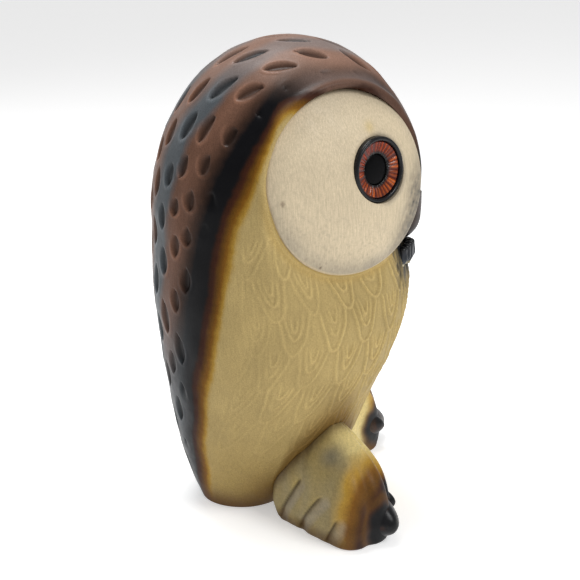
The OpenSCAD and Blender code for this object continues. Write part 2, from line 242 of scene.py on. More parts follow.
def spine(p):
    """Run tau up the back and over the crown, angle psi out from the middle line, and radius there."""
    x, y, z = np.abs(p[..., 0]), p[..., 1], p[..., 2]
    theta = np.arctan2(np.maximum(z - CAP_Z, 0), y - SPINE_Y)
    low = z <= CAP_Z
    m, d, w = mid_y(z), half_d(z), half_w(z)
    rho = np.where(low, y - m, np.hypot(y - SPINE_Y, z - CAP_Z))
    crown = 1 / np.sqrt((np.cos(theta) / SPINE_DEEP) ** 2 + (np.sin(theta) / CAP_H) ** 2)
    reach = np.where(low, d, crown)
    psi = np.degrees(np.arctan2(x / w, rho / reach))
    tau = np.where(low, z, CAP_Z + SPINE_RATE * theta)
    return tau, psi, np.sqrt((w**2 + reach**2) / 2)


def edge_table():
    """psi and arc length of the dark glaze's edge, by tau: up the flank, then along the disc."""
    z = np.linspace(0, 173, 90)
    flank = ring_point(run_at(z), flank_angle(z, edge_y(z)))
    turn = np.radians(np.linspace(100, 185, 40))[:, None]
    rim = DISC_C + (DISC_R + 0.5) * (np.cos(turn) * DISC_H + np.sin(turn) * DISC_V) + 3.0 * DISC_N
    tau, psi, size = spine(np.concatenate([flank, rim]))
    order = np.argsort(tau)
    return tau[order], psi[order], (np.radians(psi) * size)[order]


EDGE_TAU, EDGE_PSI, EDGE_ARC = edge_table()


def mantle_place(p):
    """Run tau up the back and over the crown, and distance inside the dark glaze's edge."""
    tau, psi, _ = spine(p)
    f = psi / np.interp(tau, EDGE_TAU, EDGE_PSI)
    inside = (1 - f) * np.interp(tau, EDGE_TAU, EDGE_ARC)
    front = smooth((-50 - p[..., 1]) / 6)
    return tau, inside * (1 - front) + np.minimum(inside, (p[..., 2] - 130)) * front


def hashed(i, j, salt):
    """Repeatable random number from 0 to 1 for a cell of a pattern."""
    n = np.sin(i * 127.1 + j * 311.7 + salt * 74.7) * 43758.5453
    return n - np.floor(n)


COLUMN_DEG, ROW_MM = 9.4, 21.0                      # pitch of the dimples round the body and up it


def dimples(p):
    """Depth of the mantle's almond dimples from 0 to 1, and the raised lip at their lower edge, which the
    paint lightens as a painted highlight.
    """
    tau, psi, size = spine(p)
    inside = mantle_place(p)[1] + 9 * smooth((tau - 206) / 26)
    spacing = np.radians(COLUMN_DEG) * size
    off_rim = smooth((disc_place(p)[1] - DISC_R - 4.5) / 6)
    depth, lip = np.zeros(len(p)), np.zeros(len(p))
    for near in (0, 1):
        col = np.floor(psi / COLUMN_DEG) + near
        base = tau / ROW_MM + 0.5 * (col % 2) + 0.1 * col
        middle = col == 0
        room = np.where(col % 2 == 1, smooth((spacing - 4.6) / 1.5), smooth((spacing - 2.5) / 1.5))
        for ahead in (0, 1):
            row = np.floor(base) + ahead
            dy = (base - row) * ROW_MM + 3.2 * (hashed(col, row, 1) - 0.5)
            dx = (psi / COLUMN_DEG - col) * spacing + np.where(middle, 0, 2.4 * (hashed(col, row, 2) - 0.5))
            dx = dx + np.where(middle, 0, 0.16 * dy * (hashed(col, row, 7) - 0.3))
            long = 6.0 * (0.8 + 0.35 * hashed(col, row, 3)) * (0.6 + 0.4 * room)
            wide = np.minimum(3.4, 0.4 * spacing + 0.3) * (0.85 + 0.3 * hashed(col, row, 4))
            waist = wide * np.maximum(1e-3, 1 - np.abs(dy / long) ** 2.2)
            t = np.abs(dx) / waist
            on = (np.abs(dy) < long) & (room > 0.3)
            # Fade a whole dimple by where its middle lies, so the black band cuts none in half
            clear = off_rim * smooth((inside + dx - 13.5) / 2.5)
            bowl = smooth((1 - t) * 1.2) * room * clear * np.minimum(1, wide / 2.6)
            depth = np.maximum(depth, np.where(on, bowl, 0))
            edge = np.hypot(dx / (wide * 1.22), dy / (long * 1.12))
            # Only the lower edge gets the lip, as a painted highlight where the light catches it
            low = smooth((-dy / long + 0.5) * 1.2)
            lip = np.maximum(lip, np.where(edge < 1.3, bell(edge - 0.93, 0.12) * low * clear * room, 0))
    return depth, lip


# ---------------------------------------------------------------- breast feathers
ARC_Z = np.linspace(0, 150, 76)
ARC_A = np.linspace(0, 180, 91)


def arc_table():
    """Distance round the body from the middle of the front, by height and angle."""
    grid = outer(run_at(ARC_Z)[:, None] + 0 * ARC_A, ARC_A + 0 * ARC_Z[:, None])
    steps = np.linalg.norm(np.diff(grid, axis=1), axis=-1)
    return np.concatenate([np.zeros((len(ARC_Z), 1)), np.cumsum(steps, 1)], 1)


ARC_S = arc_table()


def front_arc(z, a):
    """Distance round the body from the middle of the front."""
    i = np.clip(z / (ARC_Z[1] - ARC_Z[0]), 0, len(ARC_Z) - 1.001)
    j = np.clip(a / (ARC_A[1] - ARC_A[0]), 0, len(ARC_A) - 1.001)
    i0, j0 = i.astype(int), j.astype(int)
    fi, fj = i - i0, j - j0
    top = ARC_S[i0, j0] * (1 - fj) + ARC_S[i0, j0 + 1] * fj
    bottom = ARC_S[i0 + 1, j0] * (1 - fj) + ARC_S[i0 + 1, j0 + 1] * fj
    return top * (1 - fi) + bottom * fi


FEATHER_W, FEATHER_H = 15.0, 15.0                   # pitch across and down
FEATHER_Z = 108.0


def feathers(p, a):
    """Height of the breast's raised feather lines, and of the hollows beside them, from 0 to 1. The paint
    uses them as a painted highlight on the lines and painted shade in the hollows.
    """
    s, z = front_arc(p[:, 2], a), p[:, 2]
    height = np.zeros(len(p))
    shaded_hollow = np.zeros(len(p))
    for up in (0, 1, 2):
        row = np.floor((FEATHER_Z - z) / FEATHER_H) + 1 - up
        for near in (0, 1):
            col = np.floor(s / FEATHER_W - 0.5 * (row % 2)) + near
            cx = (col + 0.5 * (row % 2)) * FEATHER_W + 1.6 * (hashed(row, col, 5) - 0.5)
            tip = FEATHER_Z - (row + 1) * FEATHER_H + 2.2 * (hashed(row, col, 6) - 0.5)
            dx, rise = s - cx, z - tip
            for lift, half, tall in ((0, 6.2, 17.5), (6.3, 3.7, 11.5), (10.6, 1.9, 7.0)):
                h = rise - lift
                k = np.abs(dx) / half
                off = h - tall * k**2.1 + 0.55 * np.sin(0.55 * h + 2.4 * col + row + lift)
                slope = 2.1 * tall / half * k**1.1
                dist = np.abs(off) / np.sqrt(1 + slope**2)
                fade = smooth((tall * 1.02 - h) / 4) * smooth((h + 1.5) / 1.0)
                strength = 0.55 + 0.45 * hashed(row * 3 + lift, col, 8)
                height = np.maximum(height, bell(dist, 0.46) * fade * strength)
                shaded_hollow = np.maximum(shaded_hollow, bell(dist - 1.15, 0.5) * fade * strength)
    show = (0.6 + 0.4 * smooth((66 - s) / 26)) * smooth((94 - s) / 20) * smooth((z - 14) / 24)
    show *= smooth((disc_place(p)[1] - DISC_R - 1.2) / 2)
    show *= 0.45 + 0.55 * smooth((z - 38) / 30)
    show *= smooth((112 - z) / 5 + (s > 14) * 3)
    return height * show, shaded_hollow * show


# ---------------------------------------------------------------- colours
def srgb(r, g, b):
    c = np.array([r, g, b], float) / 255
    return np.where(c <= 0.04045, c / 12.92, ((c + 0.055) / 1.055) ** 2.4)


BLACK = srgb(8, 8, 11)
OXBLOOD = srgb(52, 24, 10)
AMBER = srgb(112, 73, 14)
HONEY = srgb(156, 122, 46)
CREAM = srgb(166, 145, 96)
STRAW = srgb(216, 196, 132)
KHAKI = srgb(148, 126, 74)
COPPER = srgb(104, 74, 59)
SLATE = srgb(78, 83, 87)
BROWN = srgb(88, 60, 32)
IVORY = srgb(196, 180, 151)
GREY = srgb(120, 114, 104)
CLAY = srgb(196, 178, 146)


def mix(a, b, t):
    t = np.asarray(t)[..., None]
    return a * (1 - t) + b * t


def ramp(t, stops):
    """Colour at t along (place, colour) stops."""
    xs = [s[0] for s in stops]
    return np.stack([np.interp(t, xs, [s[1][i] for s in stops]) for i in range(3)], -1)


def ripple(p, scale, seed):
    """Soft random field from -1 to 1, as a sum of waves."""
    rng = np.random.default_rng(seed)
    total = np.zeros(len(p))
    for _ in range(14):
        k = rng.normal(size=3)
        k *= (0.6 + rng.random()) / scale / np.linalg.norm(k)
        total += np.sin(p @ k * 2 * math.pi + rng.random() * 6.28)
    return total / 4.2


def body_paint(p, depth, lip, line):
    """Airbrushed glaze of the whole body, with painted highlights and painted shade: its colour, and how far
    the dark glaze covers it.
    """
    tau, inside = mantle_place(p)
    z = p[:, 2]
    over_disc = smooth((tau - 212) / 26)
    wander = inside + 8.5 * over_disc + 1.0 * ripple(p, 26, 3) + 0.22 * ripple(p, 4, 4)
    _, r, rise, _ = disc_place(p)
    # Dark side: black at the edge, then copper, slate and copper again
    fade = smooth((z - 45) / 60)
    bands = ramp(wander, [
        (8, BLACK), (15.5, BLACK), (19, COPPER * 0.25), (23.5, COPPER * 0.8), (28, COPPER),
        (32, COPPER * 0.85), (36, SLATE * 0.85), (44, SLATE * 0.8), (50, COPPER * 0.85),
        (58, COPPER), (64, SLATE * 0.9), (75, SLATE * 0.9),
    ])
    lower = ramp(wander, [
        (8, BLACK), (11, BLACK * 1.5), (16, SLATE * 0.45), (24, SLATE * 0.7), (48, SLATE * 0.55),
    ])
    dark = mix(lower, bands, fade)
    brow = smooth((tau - 218) / 16) * smooth((22 - wander) / 8) * smooth((z - 150) / 10)
    dark = mix(dark, mix(SLATE, COPPER, 0.5) * 0.7, 0.85 * brow)
    rolled = smooth((tau - 214) / 14) * smooth((DISC_R + 4.2 - r) / 1.5) * smooth((z - 140) / 12)
    dark = mix(dark, COPPER * 0.62, 0.85 * rolled)
    # Darker in the dimples, with a painted highlight on their lower lips
    dark = dark * (1 - 0.66 * depth[:, None]) * (1 + 0.55 * lip[:, None])
    # Painted highlight on the top of the crown, where the light from above falls
    dark = mix(dark, srgb(150, 122, 108), 0.4 * smooth((z - 170) / 16) * (1 - depth))
    # Pale side: amber haze next to the black, then cream
    pale = ramp(wander, [
        (-1.5, CREAM), (0.8, HONEY * 0.95), (2.7, AMBER), (4.6, AMBER * 0.55),
        (6.4, OXBLOOD * 1.1), (8.2, OXBLOOD * 0.7), (9.6, BLACK),
    ])
    body = mix(CREAM, KHAKI, smooth((60 - z) / 60))
    far = smooth((1 - wander) / 3)
    pale = mix(pale, body, far)
    pale = mix(pale, HONEY, 0.35 * smooth((DISC_R + 5 - r) / 5) * smooth(-rise * 2 + 0.6) * far)
    pale = mix(pale, BROWN, 0.9 * smooth((15 - z) / 15))
    # Painted shade in the crease where the foot meets the body
    pale = mix(pale, srgb(98, 70, 24), 0.85 * crease(p))
    throat = smooth((19 - np.abs(p[:, 0])) / 8) * smooth((z - 82) / 18) * smooth((-56 - p[:, 1]) / 6)
    streak = 0.55 + 0.45 * ripple(p * np.array([1, 1, 0.12]), 2.2, 12)
    pale = mix(pale, SLATE * 0.35, np.clip(throat * (0.35 + 0.75 * streak), 0, 1))
    # Painted highlight on the raised feather lines, and painted shade in the hollows beside them
    pale = pale * (1 + 0.38 * line[:, None])
    pale = mix(pale, CREAM * 1.25, 0.6 * bell(r - DISC_R - 0.9, 0.7) * smooth(-rise * 3 + 1))
    cover = smooth((wander - 7.6) / 2.2)
    crest = smooth((14 - np.abs(p[:, 0])) / 5) * smooth((z - 101) / 8) * smooth((138 - z) / 12)
    crest = crest * smooth((-56 - p[:, 1]) / 5)
    cover = np.maximum(cover, crest)
    dark = mix(dark, BLACK * 1.3, crest)
    return mix(pale, dark, cover), cover


# ---------------------------------------------------------------- feet
FOOT_C = np.array([-22.0, -34.0])
FOOT_H = 45.0
FOOT_DIRS = [-180, -150, -90, -30, 0, 12, 22, 30, 38, 46, 59, 69, 77, 88, 103, 137, 160, 180]
FOOT_REACH = [22, 15, 14, 14.5, 15, 17.5, 23, 28.5, 30.5, 34.5, 36, 36, 35, 31, 24.5, 20.5, 22.5, 22]
# Folds between the toes: direction, height of the top, degrees turned per mm down, width
FOLDS = ((120, 25, 1.85, 6.0), (91, 22, 1.8, 6.5), (82, 15, 0.7, 5.5))


def foot_edge(d):
    notch = np.max([bell(d - g, w) for g, w in ((38, 4), (62, 5), (90, 6), (124, 7), (154, 8))], axis=0)
    return curve(FOOT_DIRS, FOOT_REACH, d) * (1 - 0.04 * notch)


def folds(d, z, reach):
    """Depth of the folds between the toes, and how much of a lit facet lies there."""
    depth, facet = 0 * d, 0 * d
    for start, high, lean, wide in FOLDS:
        off = (start + lean * (high - z) - d) * math.pi / 180 * reach
        span = smooth((high - z) / 5)
        leaf = np.clip(off / (wide * (0.35 + 0.65 * span)), 0, 1)
        shape = np.where(off < 0, smooth((off + 1.5) / 1.5), (1 - leaf) ** 1.3)
        depth = np.maximum(depth, shape * span)
        lit = np.sin(np.pi * np.clip(leaf * 1.05, 0, 1)) ** 0.7
        facet = np.maximum(facet, np.where(off > 0, lit, 0) * span)
    return depth, facet


def foot_free(rho, d):
    """Height of the foot's top, before the body cuts it off."""
    between = (1.4 * bell(d - 38, 4.5) + 1.1 * bell(d - 62, 5)) * smooth((rho - 0.72) / 0.2)
    return (FOOT_H - 22 * rho**1.4 - between) * np.sqrt(np.maximum(0, 1 - 0.85 * rho**14))


def foot_polar(x, y):
    """Share of the way out to the foot's edge, and direction from the foot's middle."""
    dx, dy = -(x - FOOT_C[0]), -(y - FOOT_C[1])
    d = np.degrees(np.arctan2(dx, dy))
    return np.hypot(dx, dy) / foot_edge(d), d


def crease(p):
    """How near a point of the body is to the line where the foot meets it, from 0 to 1."""
    rho, d = foot_polar(-np.abs(p[:, 0]), p[:, 1])
    over = p[:, 2] - foot_free(np.minimum(rho, 1), d)
    reach = np.maximum(0, rho - 1) * 30
    return np.clip(bell(over, 14) * bell(reach, 14), 0, 1)


# ---------------------------------------------------------------- mesh helpers
def mirrored(verts):
    return np.asarray(verts) * np.array([-1, 1, 1])


def tube(rows, cols, first=0, caps=True):
    """Faces that join rows + 1 rings of cols points each, and close the two ends."""
    faces = []
    for i in range(rows):
        a, b = first + i * cols, first + (i + 1) * cols
        faces += [(a + j, a + (j + 1) % cols, b + (j + 1) % cols, b + j) for j in range(cols)]
    if caps:
        faces.append(tuple(first + j for j in range(cols)))
        faces.append(tuple(first + rows * cols + j for j in range(cols)))
    return faces


def piece(name, nodes, material, verts, faces, paint, crisp=1.2, sign=-1, values=None):
    """A finished piece from millimetre points, with its paint and named values on the vertices.

    Points are of the right side, and sign 1 mirrors them to the left.
    """
    if sign > 0:
        verts = mirrored(verts)
    mesh = bpy.data.meshes.new(name)
    mesh.from_pydata((np.asarray(verts) * MM).tolist(), [], [list(map(int, f)) for f in faces])
    rgba = np.ones((len(verts), 4), np.float32)
    rgba[:, :3] = np.clip(paint, 0, 1)
    mesh.attributes.new("paint", "FLOAT_COLOR", "POINT").data.foreach_set("color", rgba.ravel())
    for key, val in (values or {}).items():
        flat = np.asarray(val, np.float32)
        mesh.attributes.new(key, "FLOAT", "POINT").data.foreach_set("value", flat)
    bm = bmesh.new()
    bm.from_mesh(mesh)
    bmesh.ops.recalc_face_normals(bm, faces=bm.faces)
    bm.to_mesh(mesh)
    bm.free()
    mesh.shade_smooth()
    mesh.set_sharp_from_angle(angle=crisp)
    mesh.materials.append(material)
    obj = bpy.data.objects.new(name, mesh)
    bpy.context.scene.collection.objects.link(obj)
    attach(obj, "root")
    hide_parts(*nodes)


# ---------------------------------------------------------------- body skins
STEPS = (0.7, 0.58)                                 # point spacing on the mantle and on the breast
RUN_Q = np.linspace(0, TOP_Q, 3001)


def run_table():
    """Length along the flank and the back, averaged, up to each run."""
    total = 0
    for a in (90, 180):
        pts = ring_point(RUN_Q, np.full(len(RUN_Q), float(a)))
        total = total + np.concatenate([[0], np.cumsum(np.linalg.norm(np.diff(pts, axis=0), axis=1))])
    return total / 2


RUN_V = run_table()


def quarter(q):
    """A quarter of the way round the body at run q."""
    z, cap = meridian(q)
    return math.pi / 2 * np.sqrt(((half_w(z) * cap) ** 2 + (half_d(z) * cap) ** 2) / 2) + 1e-4


def to_chart(q, a):
    return np.stack([(np.asarray(a) / 90 - 1) * quarter(q), np.interp(q, RUN_Q, RUN_V)], -1)


def from_chart(c):
    q = np.interp(c[:, 1], RUN_V, RUN_Q)
    return q, np.clip((c[:, 0] / quarter(q) + 1) * 90, 0, 180)


def under_disc(r, turn):
    """Chart points of the body that lie at distance r and angle turn from the disc's axis."""
    side = r[:, None] * (np.cos(turn)[:, None] * DISC_H + np.sin(turn)[:, None] * DISC_V)
    lo, hi = np.full(len(r), -30.0), np.full(len(r), 45.0)
    for _ in range(45):
        t = (lo + hi) / 2
        out = locate(DISC_C + side + t[:, None] * DISC_N)[1] > 1
        lo, hi = np.where(out, lo, t), np.where(out, t, hi)
    p = DISC_C + side + t[:, None] * DISC_N
    return to_chart(run_at(p[:, 2]), locate(p)[0])


def chart_points(step, rings, floor_step, extra_q=()):
    """Points and fixed edges of one half of the body, on its flat chart."""
    pts, edges = [], []

    def put(block):
        first = sum(len(b) for b in pts)
        pts.append(np.asarray(block))
        return first + np.arange(len(block))

    v_join, v_top = np.interp(run_at(JOIN_Z), RUN_Q, RUN_V), RUN_V[-1]
    v_rows = np.linspace(0, v_top, int(v_top / (step * 0.87)) + 1)
    fixed = np.array([v_join] + [np.interp(q, RUN_Q, RUN_V) for q in extra_q])
    v_rows = v_rows[np.min(np.abs(v_rows[:, None] - fixed), 1) > 0.25 * step]
    border_v = np.sort(np.concatenate([v_rows, fixed]))
    border_q = np.interp(border_v, RUN_V, RUN_Q)
    # Seam: up the flank, then forward to the middle line
    seam_q = np.linspace(0, float(run_at(JOIN_Z)), int(v_join / step) + 1)
    seam_a = seam_angle(meridian(seam_q)[0])
    seam = to_chart(seam_q, seam_a)
    across = np.arange(1, int((seam[-1, 0] + quarter(seam_q[-1])) / step))
    level = np.stack([seam[-1, 0] - across * step, np.full(len(across), v_join)], -1)
    left = put(to_chart(border_q, 0 * border_q))
    right = put(to_chart(border_q[:-1], 0 * border_q[:-1] + 180))
    edges += list(zip(left[:-1], left[1:])) + list(zip(right[:-1], right[1:])) + [(right[-1], left[-1])]
    up = put(seam)
    flat = put(level)
    end = left[int(np.argmin(np.abs(border_v - v_join)))]
    chain = np.concatenate([up, flat, [end]])
    edges += list(zip(chain[:-1], chain[1:]))
    bottom_a = np.linspace(0, 180, int(2 * quarter(0.0) / step) + 1)[1:-1]
    bottom_a = bottom_a[np.abs(bottom_a - seam_a[0]) > 90 * 0.5 * step / quarter(0.0)]
    low = put(to_chart(0 * bottom_a, bottom_a))
    floor_line = np.concatenate([low, [up[0]]])[np.argsort(np.concatenate([bottom_a, [seam_a[0]]]))]
    floor_line = np.concatenate([[left[0]], floor_line, [right[0]]])
    edges += list(zip(floor_line[:-1], floor_line[1:]))
    # Rings round the face disc, and a coarse floor under it
    for r, fix in rings:
        n = int(2 * math.pi * r / max(step, 0.8))
        turn = np.arange(n) * 2 * math.pi / n
        ring = under_disc(np.full(n, r), turn)
        if not fix:
            aside = np.abs(ring[:, 0] - np.interp(ring[:, 1], seam[:, 1], seam[:, 0]))
            above = np.where(ring[:, 0] < seam[-1, 0], np.abs(ring[:, 1] - v_join), np.inf)
            ring = ring[np.minimum(np.where(ring[:, 1] > v_join, np.inf, aside), above) > 0.3 * step]
        ids = put(ring)
        if fix:
            edges += list(zip(ids, np.roll(ids, -1)))
    g = np.arange(-DISC_R, DISC_R, floor_step)
    gx, gy = np.meshgrid(g, g)
    r = np.hypot(gx, gy).ravel()
    keep = r < DISC_R - 0.6 * floor_step
    turn = np.arctan2(gy, gx).ravel()[keep]
    if rings:
        ring = under_disc(r[keep], turn)
        ring = ring[np.abs(ring[:, 1] - v_join) > 0.4 * floor_step]
        put(ring)
    # Even rows elsewhere
    for k, v in enumerate(np.concatenate([v_rows[1:-1], fixed[1:]])):
        q = np.interp(v, RUN_V, RUN_Q)
        wide = quarter(q)
        n = max(1, int(round(2 * wide / step)))
        u = -wide + 2 * wide * (np.arange(1, n) + (0.25 if k % 2 else -0.25)) / n
        row = np.stack([u, np.full(len(u), v)], -1)
        if v < v_join:
            row = row[np.abs(row[:, 0] - np.interp(v, seam[:, 1], seam[:, 0])) > 0.5 * step]
        if abs(v - v_join) < 0.45 * step:
            row = row[row[:, 0] > seam[-1, 0]]
        if rings and len(row):
            qq, aa = from_chart(row)
            row = row[disc_place(ring_point(qq, aa))[1] > rings[-1][0] + 0.45 * step]
        if len(row):
            put(row)
    return np.concatenate(pts), edges


def triangulate(pts, edges):
    out = delaunay_2d_cdt([Vector(p) for p in pts], [tuple(map(int, e)) for e in edges], [], 1, 1e-5)
    return np.array([tuple(v) for v in out[0]]), np.array([tuple(f) for f in out[2]])


def split_at_seam(chart, tris):
    """Triangles of the mantle, then those of the breast."""
    q, a = from_chart(chart[tris].mean(1))
    z = meridian(q)[0]
    back = (z > JOIN_Z) | (a > seam_angle(np.minimum(z, JOIN_Z)))
    return tris[back], tris[~back]


def skin_relief(q, a):
    """The body's sculpted outer surface, with its paint and pattern values."""
    base = outer(q, a)
    plain = ring_point(q, a)
    _, r, rise, side = disc_place(plain)
    qa, qb = np.minimum(q + 0.05, TOP_Q - 1e-3), np.maximum(q - 0.05, 0)
    du = outer(q, np.minimum(a + 0.03, 180)) - outer(q, np.maximum(a - 0.03, 0))
    dv = outer(qa, a) - outer(qb, a)
    n = np.cross(dv, du)
    n /= np.maximum(np.linalg.norm(n, axis=1, keepdims=True), 1e-9)
    n[q > TOP_Q - 0.3] = [0, 0, 1]
    centre = np.array([0, -20, 100.0])
    n[((base - centre) * n).sum(1) < 0] *= -1
    n[:, 0] = np.where((a < 1e-3) | (a > 180 - 1e-3), 0, n[:, 0])
    depth, lip = dimples(base)
    line, shaded_hollow = feathers(base, a)
    out = r - DISC_R
    top = smooth((rise + 0.25) / 0.5)
    up = 0.9 * bell(out - 2.1, 1.5) * top - 0.45 * bell(out - 5.6, 2.2) * top
    up -= 1.0 * np.clip(1 - out / 1.2, 0, 1) ** 2 * top
    up += 1.3 * np.clip(1 - out / 2.6, 0, 1) ** 2 * (1 - top) * smooth((-rise + 0.2) * 2)
    gate = smooth(out / 5)
    relief = -1.1 * depth * (0.2 + 0.8 * gate) + 0.15 * lip * gate + 0.75 * line - 0.12 * shaded_hollow + up
    relief += 0.12 * ripple(base, 16, 21)
    # Nothing stands proud of the frame's own outline
    free = smooth((REF_H - 1.5 - base[:, 2]) / 4) * smooth((32.7 - base[:, 1]) / 1.5)
    relief = np.where(relief > 0, relief * free, relief)
    out_pts = base + n * relief[:, None]
    out_pts[:, 2] = np.maximum(out_pts[:, 2], 0)
    inside = r < DISC_R - 0.015
    out_pts[inside] = (DISC_C + side - SEAT * DISC_N)[inside]
    # The paint gets the feather lines less their hollows, for painted highlight and painted shade
    paint, cover = body_paint(base, depth, lip, line - 0.35 * shaded_hollow)
    return out_pts, paint, {"cover": cover, "dip": depth, "line": line}


def skin_core(q, a):
    """The casting's inner surface, and the seat of the base plate."""
    neck = ring_point(0 * q, a, WALL + 0.5)
    inner = sunk(ring_point(q, a, WALL), -10, -10, 20)
    inner[..., 2] = np.maximum(inner[..., 2], 6.0)
    pts = np.where((q < 6)[:, None], np.stack([neck[:, 0], neck[:, 1], q], -1), inner)
    ang = np.radians(a)
    seat = np.stack([-BASE_R * np.sin(ang), -BASE_R * np.cos(ang), q], -1)
    return np.where((q < BASE_H)[:, None], seat, pts)


def both_sides(verts, tris):
    """A half mesh joined to its mirror image along x = 0."""
    mid = np.abs(verts[:, 0]) < 2e-3
    verts = verts.copy()
    verts[mid, 0] = 0
    twin = np.where(mid, np.arange(len(verts)), 0)
    twin[~mid] = len(verts) + np.arange((~mid).sum())
    return np.concatenate([verts, mirrored(verts[~mid])]), np.concatenate([tris, twin[tris][:, ::-1]]), mid


def border_loop(tris):
    """Vertices along the open edge of a mesh, in order."""
    e = np.concatenate([tris[:, [0, 1]], tris[:, [1, 2]], tris[:, [2, 0]]])
    key = np.sort(e, 1)
    _, first, count = np.unique(key[:, 0] * 10_000_000 + key[:, 1], return_index=True, return_counts=True)
    step = {int(a): int(b) for a, b in e[first[count == 1]]}
    start = next(iter(step))
    loop, at = [start], step[start]
    while at != start:
        loop.append(at)
        at = step[at]
    return np.array(loop)


def zip_loops(one, near_one, two, near_two):
    """Faces between two loops of different counts, matched by their nearest points."""
    near = np.array([np.argmin(((near_two - p) ** 2).sum(1)) for p in near_one])
    m = len(two)
    jump = (np.diff(np.append(near, near[0])) + m // 2) % m - m // 2
    if jump.sum() < 0:
        two, near = two[::-1], m - 1 - near
    faces, at = [], int(near[0])
    for i in range(len(one)):
        here, there = one[i], one[(i + 1) % len(one)]
        goal = int(near[(i + 1) % len(one)])
        ahead = (goal - at) % m
        if ahead > m // 2:
            ahead = 0
        faces.append((here, there, two[at % m]))
        for _ in range(ahead):
            faces.append((there, two[(at + 1) % m], two[at % m]))
            at = (at + 1) % m
    return faces


def half_skin(which, chart, tris):
    """One casting's share of a half mesh: the runs and angles of its points, and its triangles."""
    used, tris = np.unique(split_at_seam(chart, tris)[which], return_inverse=True)
    return *from_chart(chart[used]), tris.reshape(-1, 3)


def shell(name, which, node, material, fine, coarse):
    """A casting: its sculpted skin, its inner wall, and the strip that joins their open edges."""
    q, a, tris = half_skin(which, *fine)
    pts, paint, values = skin_relief(q, a)
    outer_v, outer_t, mid = both_sides(pts, tris)
    near1 = both_sides(ring_point(q, a), tris)[0]
    q, a, tris = half_skin(which, *coarse)
    inner_v, inner_t, _ = both_sides(skin_core(q, a), tris)
    near2 = both_sides(ring_point(q, a), tris)[0]
    loop1, loop2 = border_loop(outer_t), border_loop(inner_t)
    strip = zip_loops(loop1, near1[loop1], loop2 + len(outer_v), near2[loop2])
    faces = np.concatenate([outer_t, inner_t[:, ::-1] + len(outer_v), np.array(strip)])
    clay = np.tile(CLAY, (len(inner_v), 1))
    paint = np.concatenate([paint, paint[~mid], clay])
    values = {k: np.concatenate([v, v[~mid], np.zeros(len(inner_v))]) for k, v in values.items()}
    verts = np.concatenate([outer_v, inner_v])
    piece(name, [node], material, verts, faces, paint, 1.1, values=values)


# ---------------------------------------------------------------- materials
def nodes_for(name):
    mat = bpy.data.materials.new(name)
    mat.use_nodes = True
    tree = mat.node_tree
    return mat, tree, tree.nodes["Principled BSDF"]


def add(tree, kind, links=(), **settings):
    """A node with its settings; links joins (input, socket) pairs."""
    node = tree.nodes.new(kind)
    for key, val in settings.items():
        setattr(node, key, val)
    for into, source in links:
        if isinstance(source, (int, float, tuple)):
            node.inputs[into].default_value = source
        else:
            tree.links.new(node.inputs[into], source)
    return node


def noise(tree, scale, detail, stretch=(1, 1, 1)):
    """Noise in object space; scale is in cycles per metre before the stretch."""
    coord = add(tree, "ShaderNodeTexCoord")
    place = add(tree, "ShaderNodeMapping", [("Vector", coord.outputs["Object"]), ("Scale", stretch)])
    tex = add(tree, "ShaderNodeTexNoise", [
        ("Vector", place.outputs[0]), ("Scale", float(scale)), ("Detail", detail), ("Roughness", 0.5),
    ])
    return tex.outputs["Fac"]


def fit(tree, value, low, high, to_low, to_high):
    node = add(tree, "ShaderNodeMapRange", [
        ("Value", value), ("From Min", low), ("From Max", high), ("To Min", to_low), ("To Max", to_high),
    ])
    return node.outputs[0]


def varied(tree, field, low, high):
    """Noise spread out to run from low to high."""
    return fit(tree, field, 0.3, 0.7, low, high)


def scaled(tree, colour, factor):
    """Colour times a varying number."""
    node = add(tree, "ShaderNodeVectorMath", operation="SCALE")
    tree.links.new(node.inputs[0], colour)
    tree.links.new(node.inputs["Scale"], factor)
    return node.outputs[0]


def attribute(tree, name, socket="Fac"):
    return add(tree, "ShaderNodeAttribute", attribute_name=name).outputs[socket]


def glaze(name, tones, rough, bumps, shine=0.5):
    """Material of the vertex paint times its tones, and the node that gives its roughness.

    tones and rough hold (noise, low, high), and bumps hold (noise, strength, depth in mm). A noise
    is (scale, detail, stretch), and the same one is shared.
    """
    mat, tree, shader = nodes_for(name)
    fields = {}

    def field(spec):
        if spec not in fields:
            fields[spec] = noise(tree, *spec)
        return fields[spec]

    colour = attribute(tree, "paint", "Color")
    for spec, low, high in tones:
        colour = scaled(tree, colour, varied(tree, field(spec), low, high))
    tree.links.new(shader.inputs["Base Color"], colour)
    dull = varied(tree, field(rough[0]), *rough[1:])
    tree.links.new(shader.inputs["Roughness"], dull)
    shader.inputs["Specular IOR Level"].default_value = shine
    last = None
    for spec, strength, deep in bumps:
        links = [("Height", field(spec)), ("Strength", strength), ("Distance", deep * MM)]
        if last is not None:
            links.append(("Normal", last))
        last = add(tree, "ShaderNodeBump", links).outputs[0]
    tree.links.new(shader.inputs["Normal"], last)
    return mat, dull


def body_material(name):
    """Airbrushed glaze: speckled pigment, vertical brush marks, duller on the pale clay."""
    brush = (1500, 3, (1, 1, 0.07))
    mat, dull = glaze(
        name, [((2300, 2), 0.84, 1.14), ((70, 4), 0.92, 1.08), (brush, 0.93, 1.06)],
        ((300, 4), -0.05, 0.07), [(brush, 0.25, 0.12), ((700, 4), 0.2, 0.1)], 0.1,
    )
    tree = mat.node_tree
    plain = fit(tree, attribute(tree, "cover"), 0, 1, 0.56, 0.36)
    rough = add(tree, "ShaderNodeMath", [(0, plain), (1, dull)], operation="ADD")
    tree.links.new(tree.nodes["Principled BSDF"].inputs["Roughness"], rough.outputs[0])
    return mat


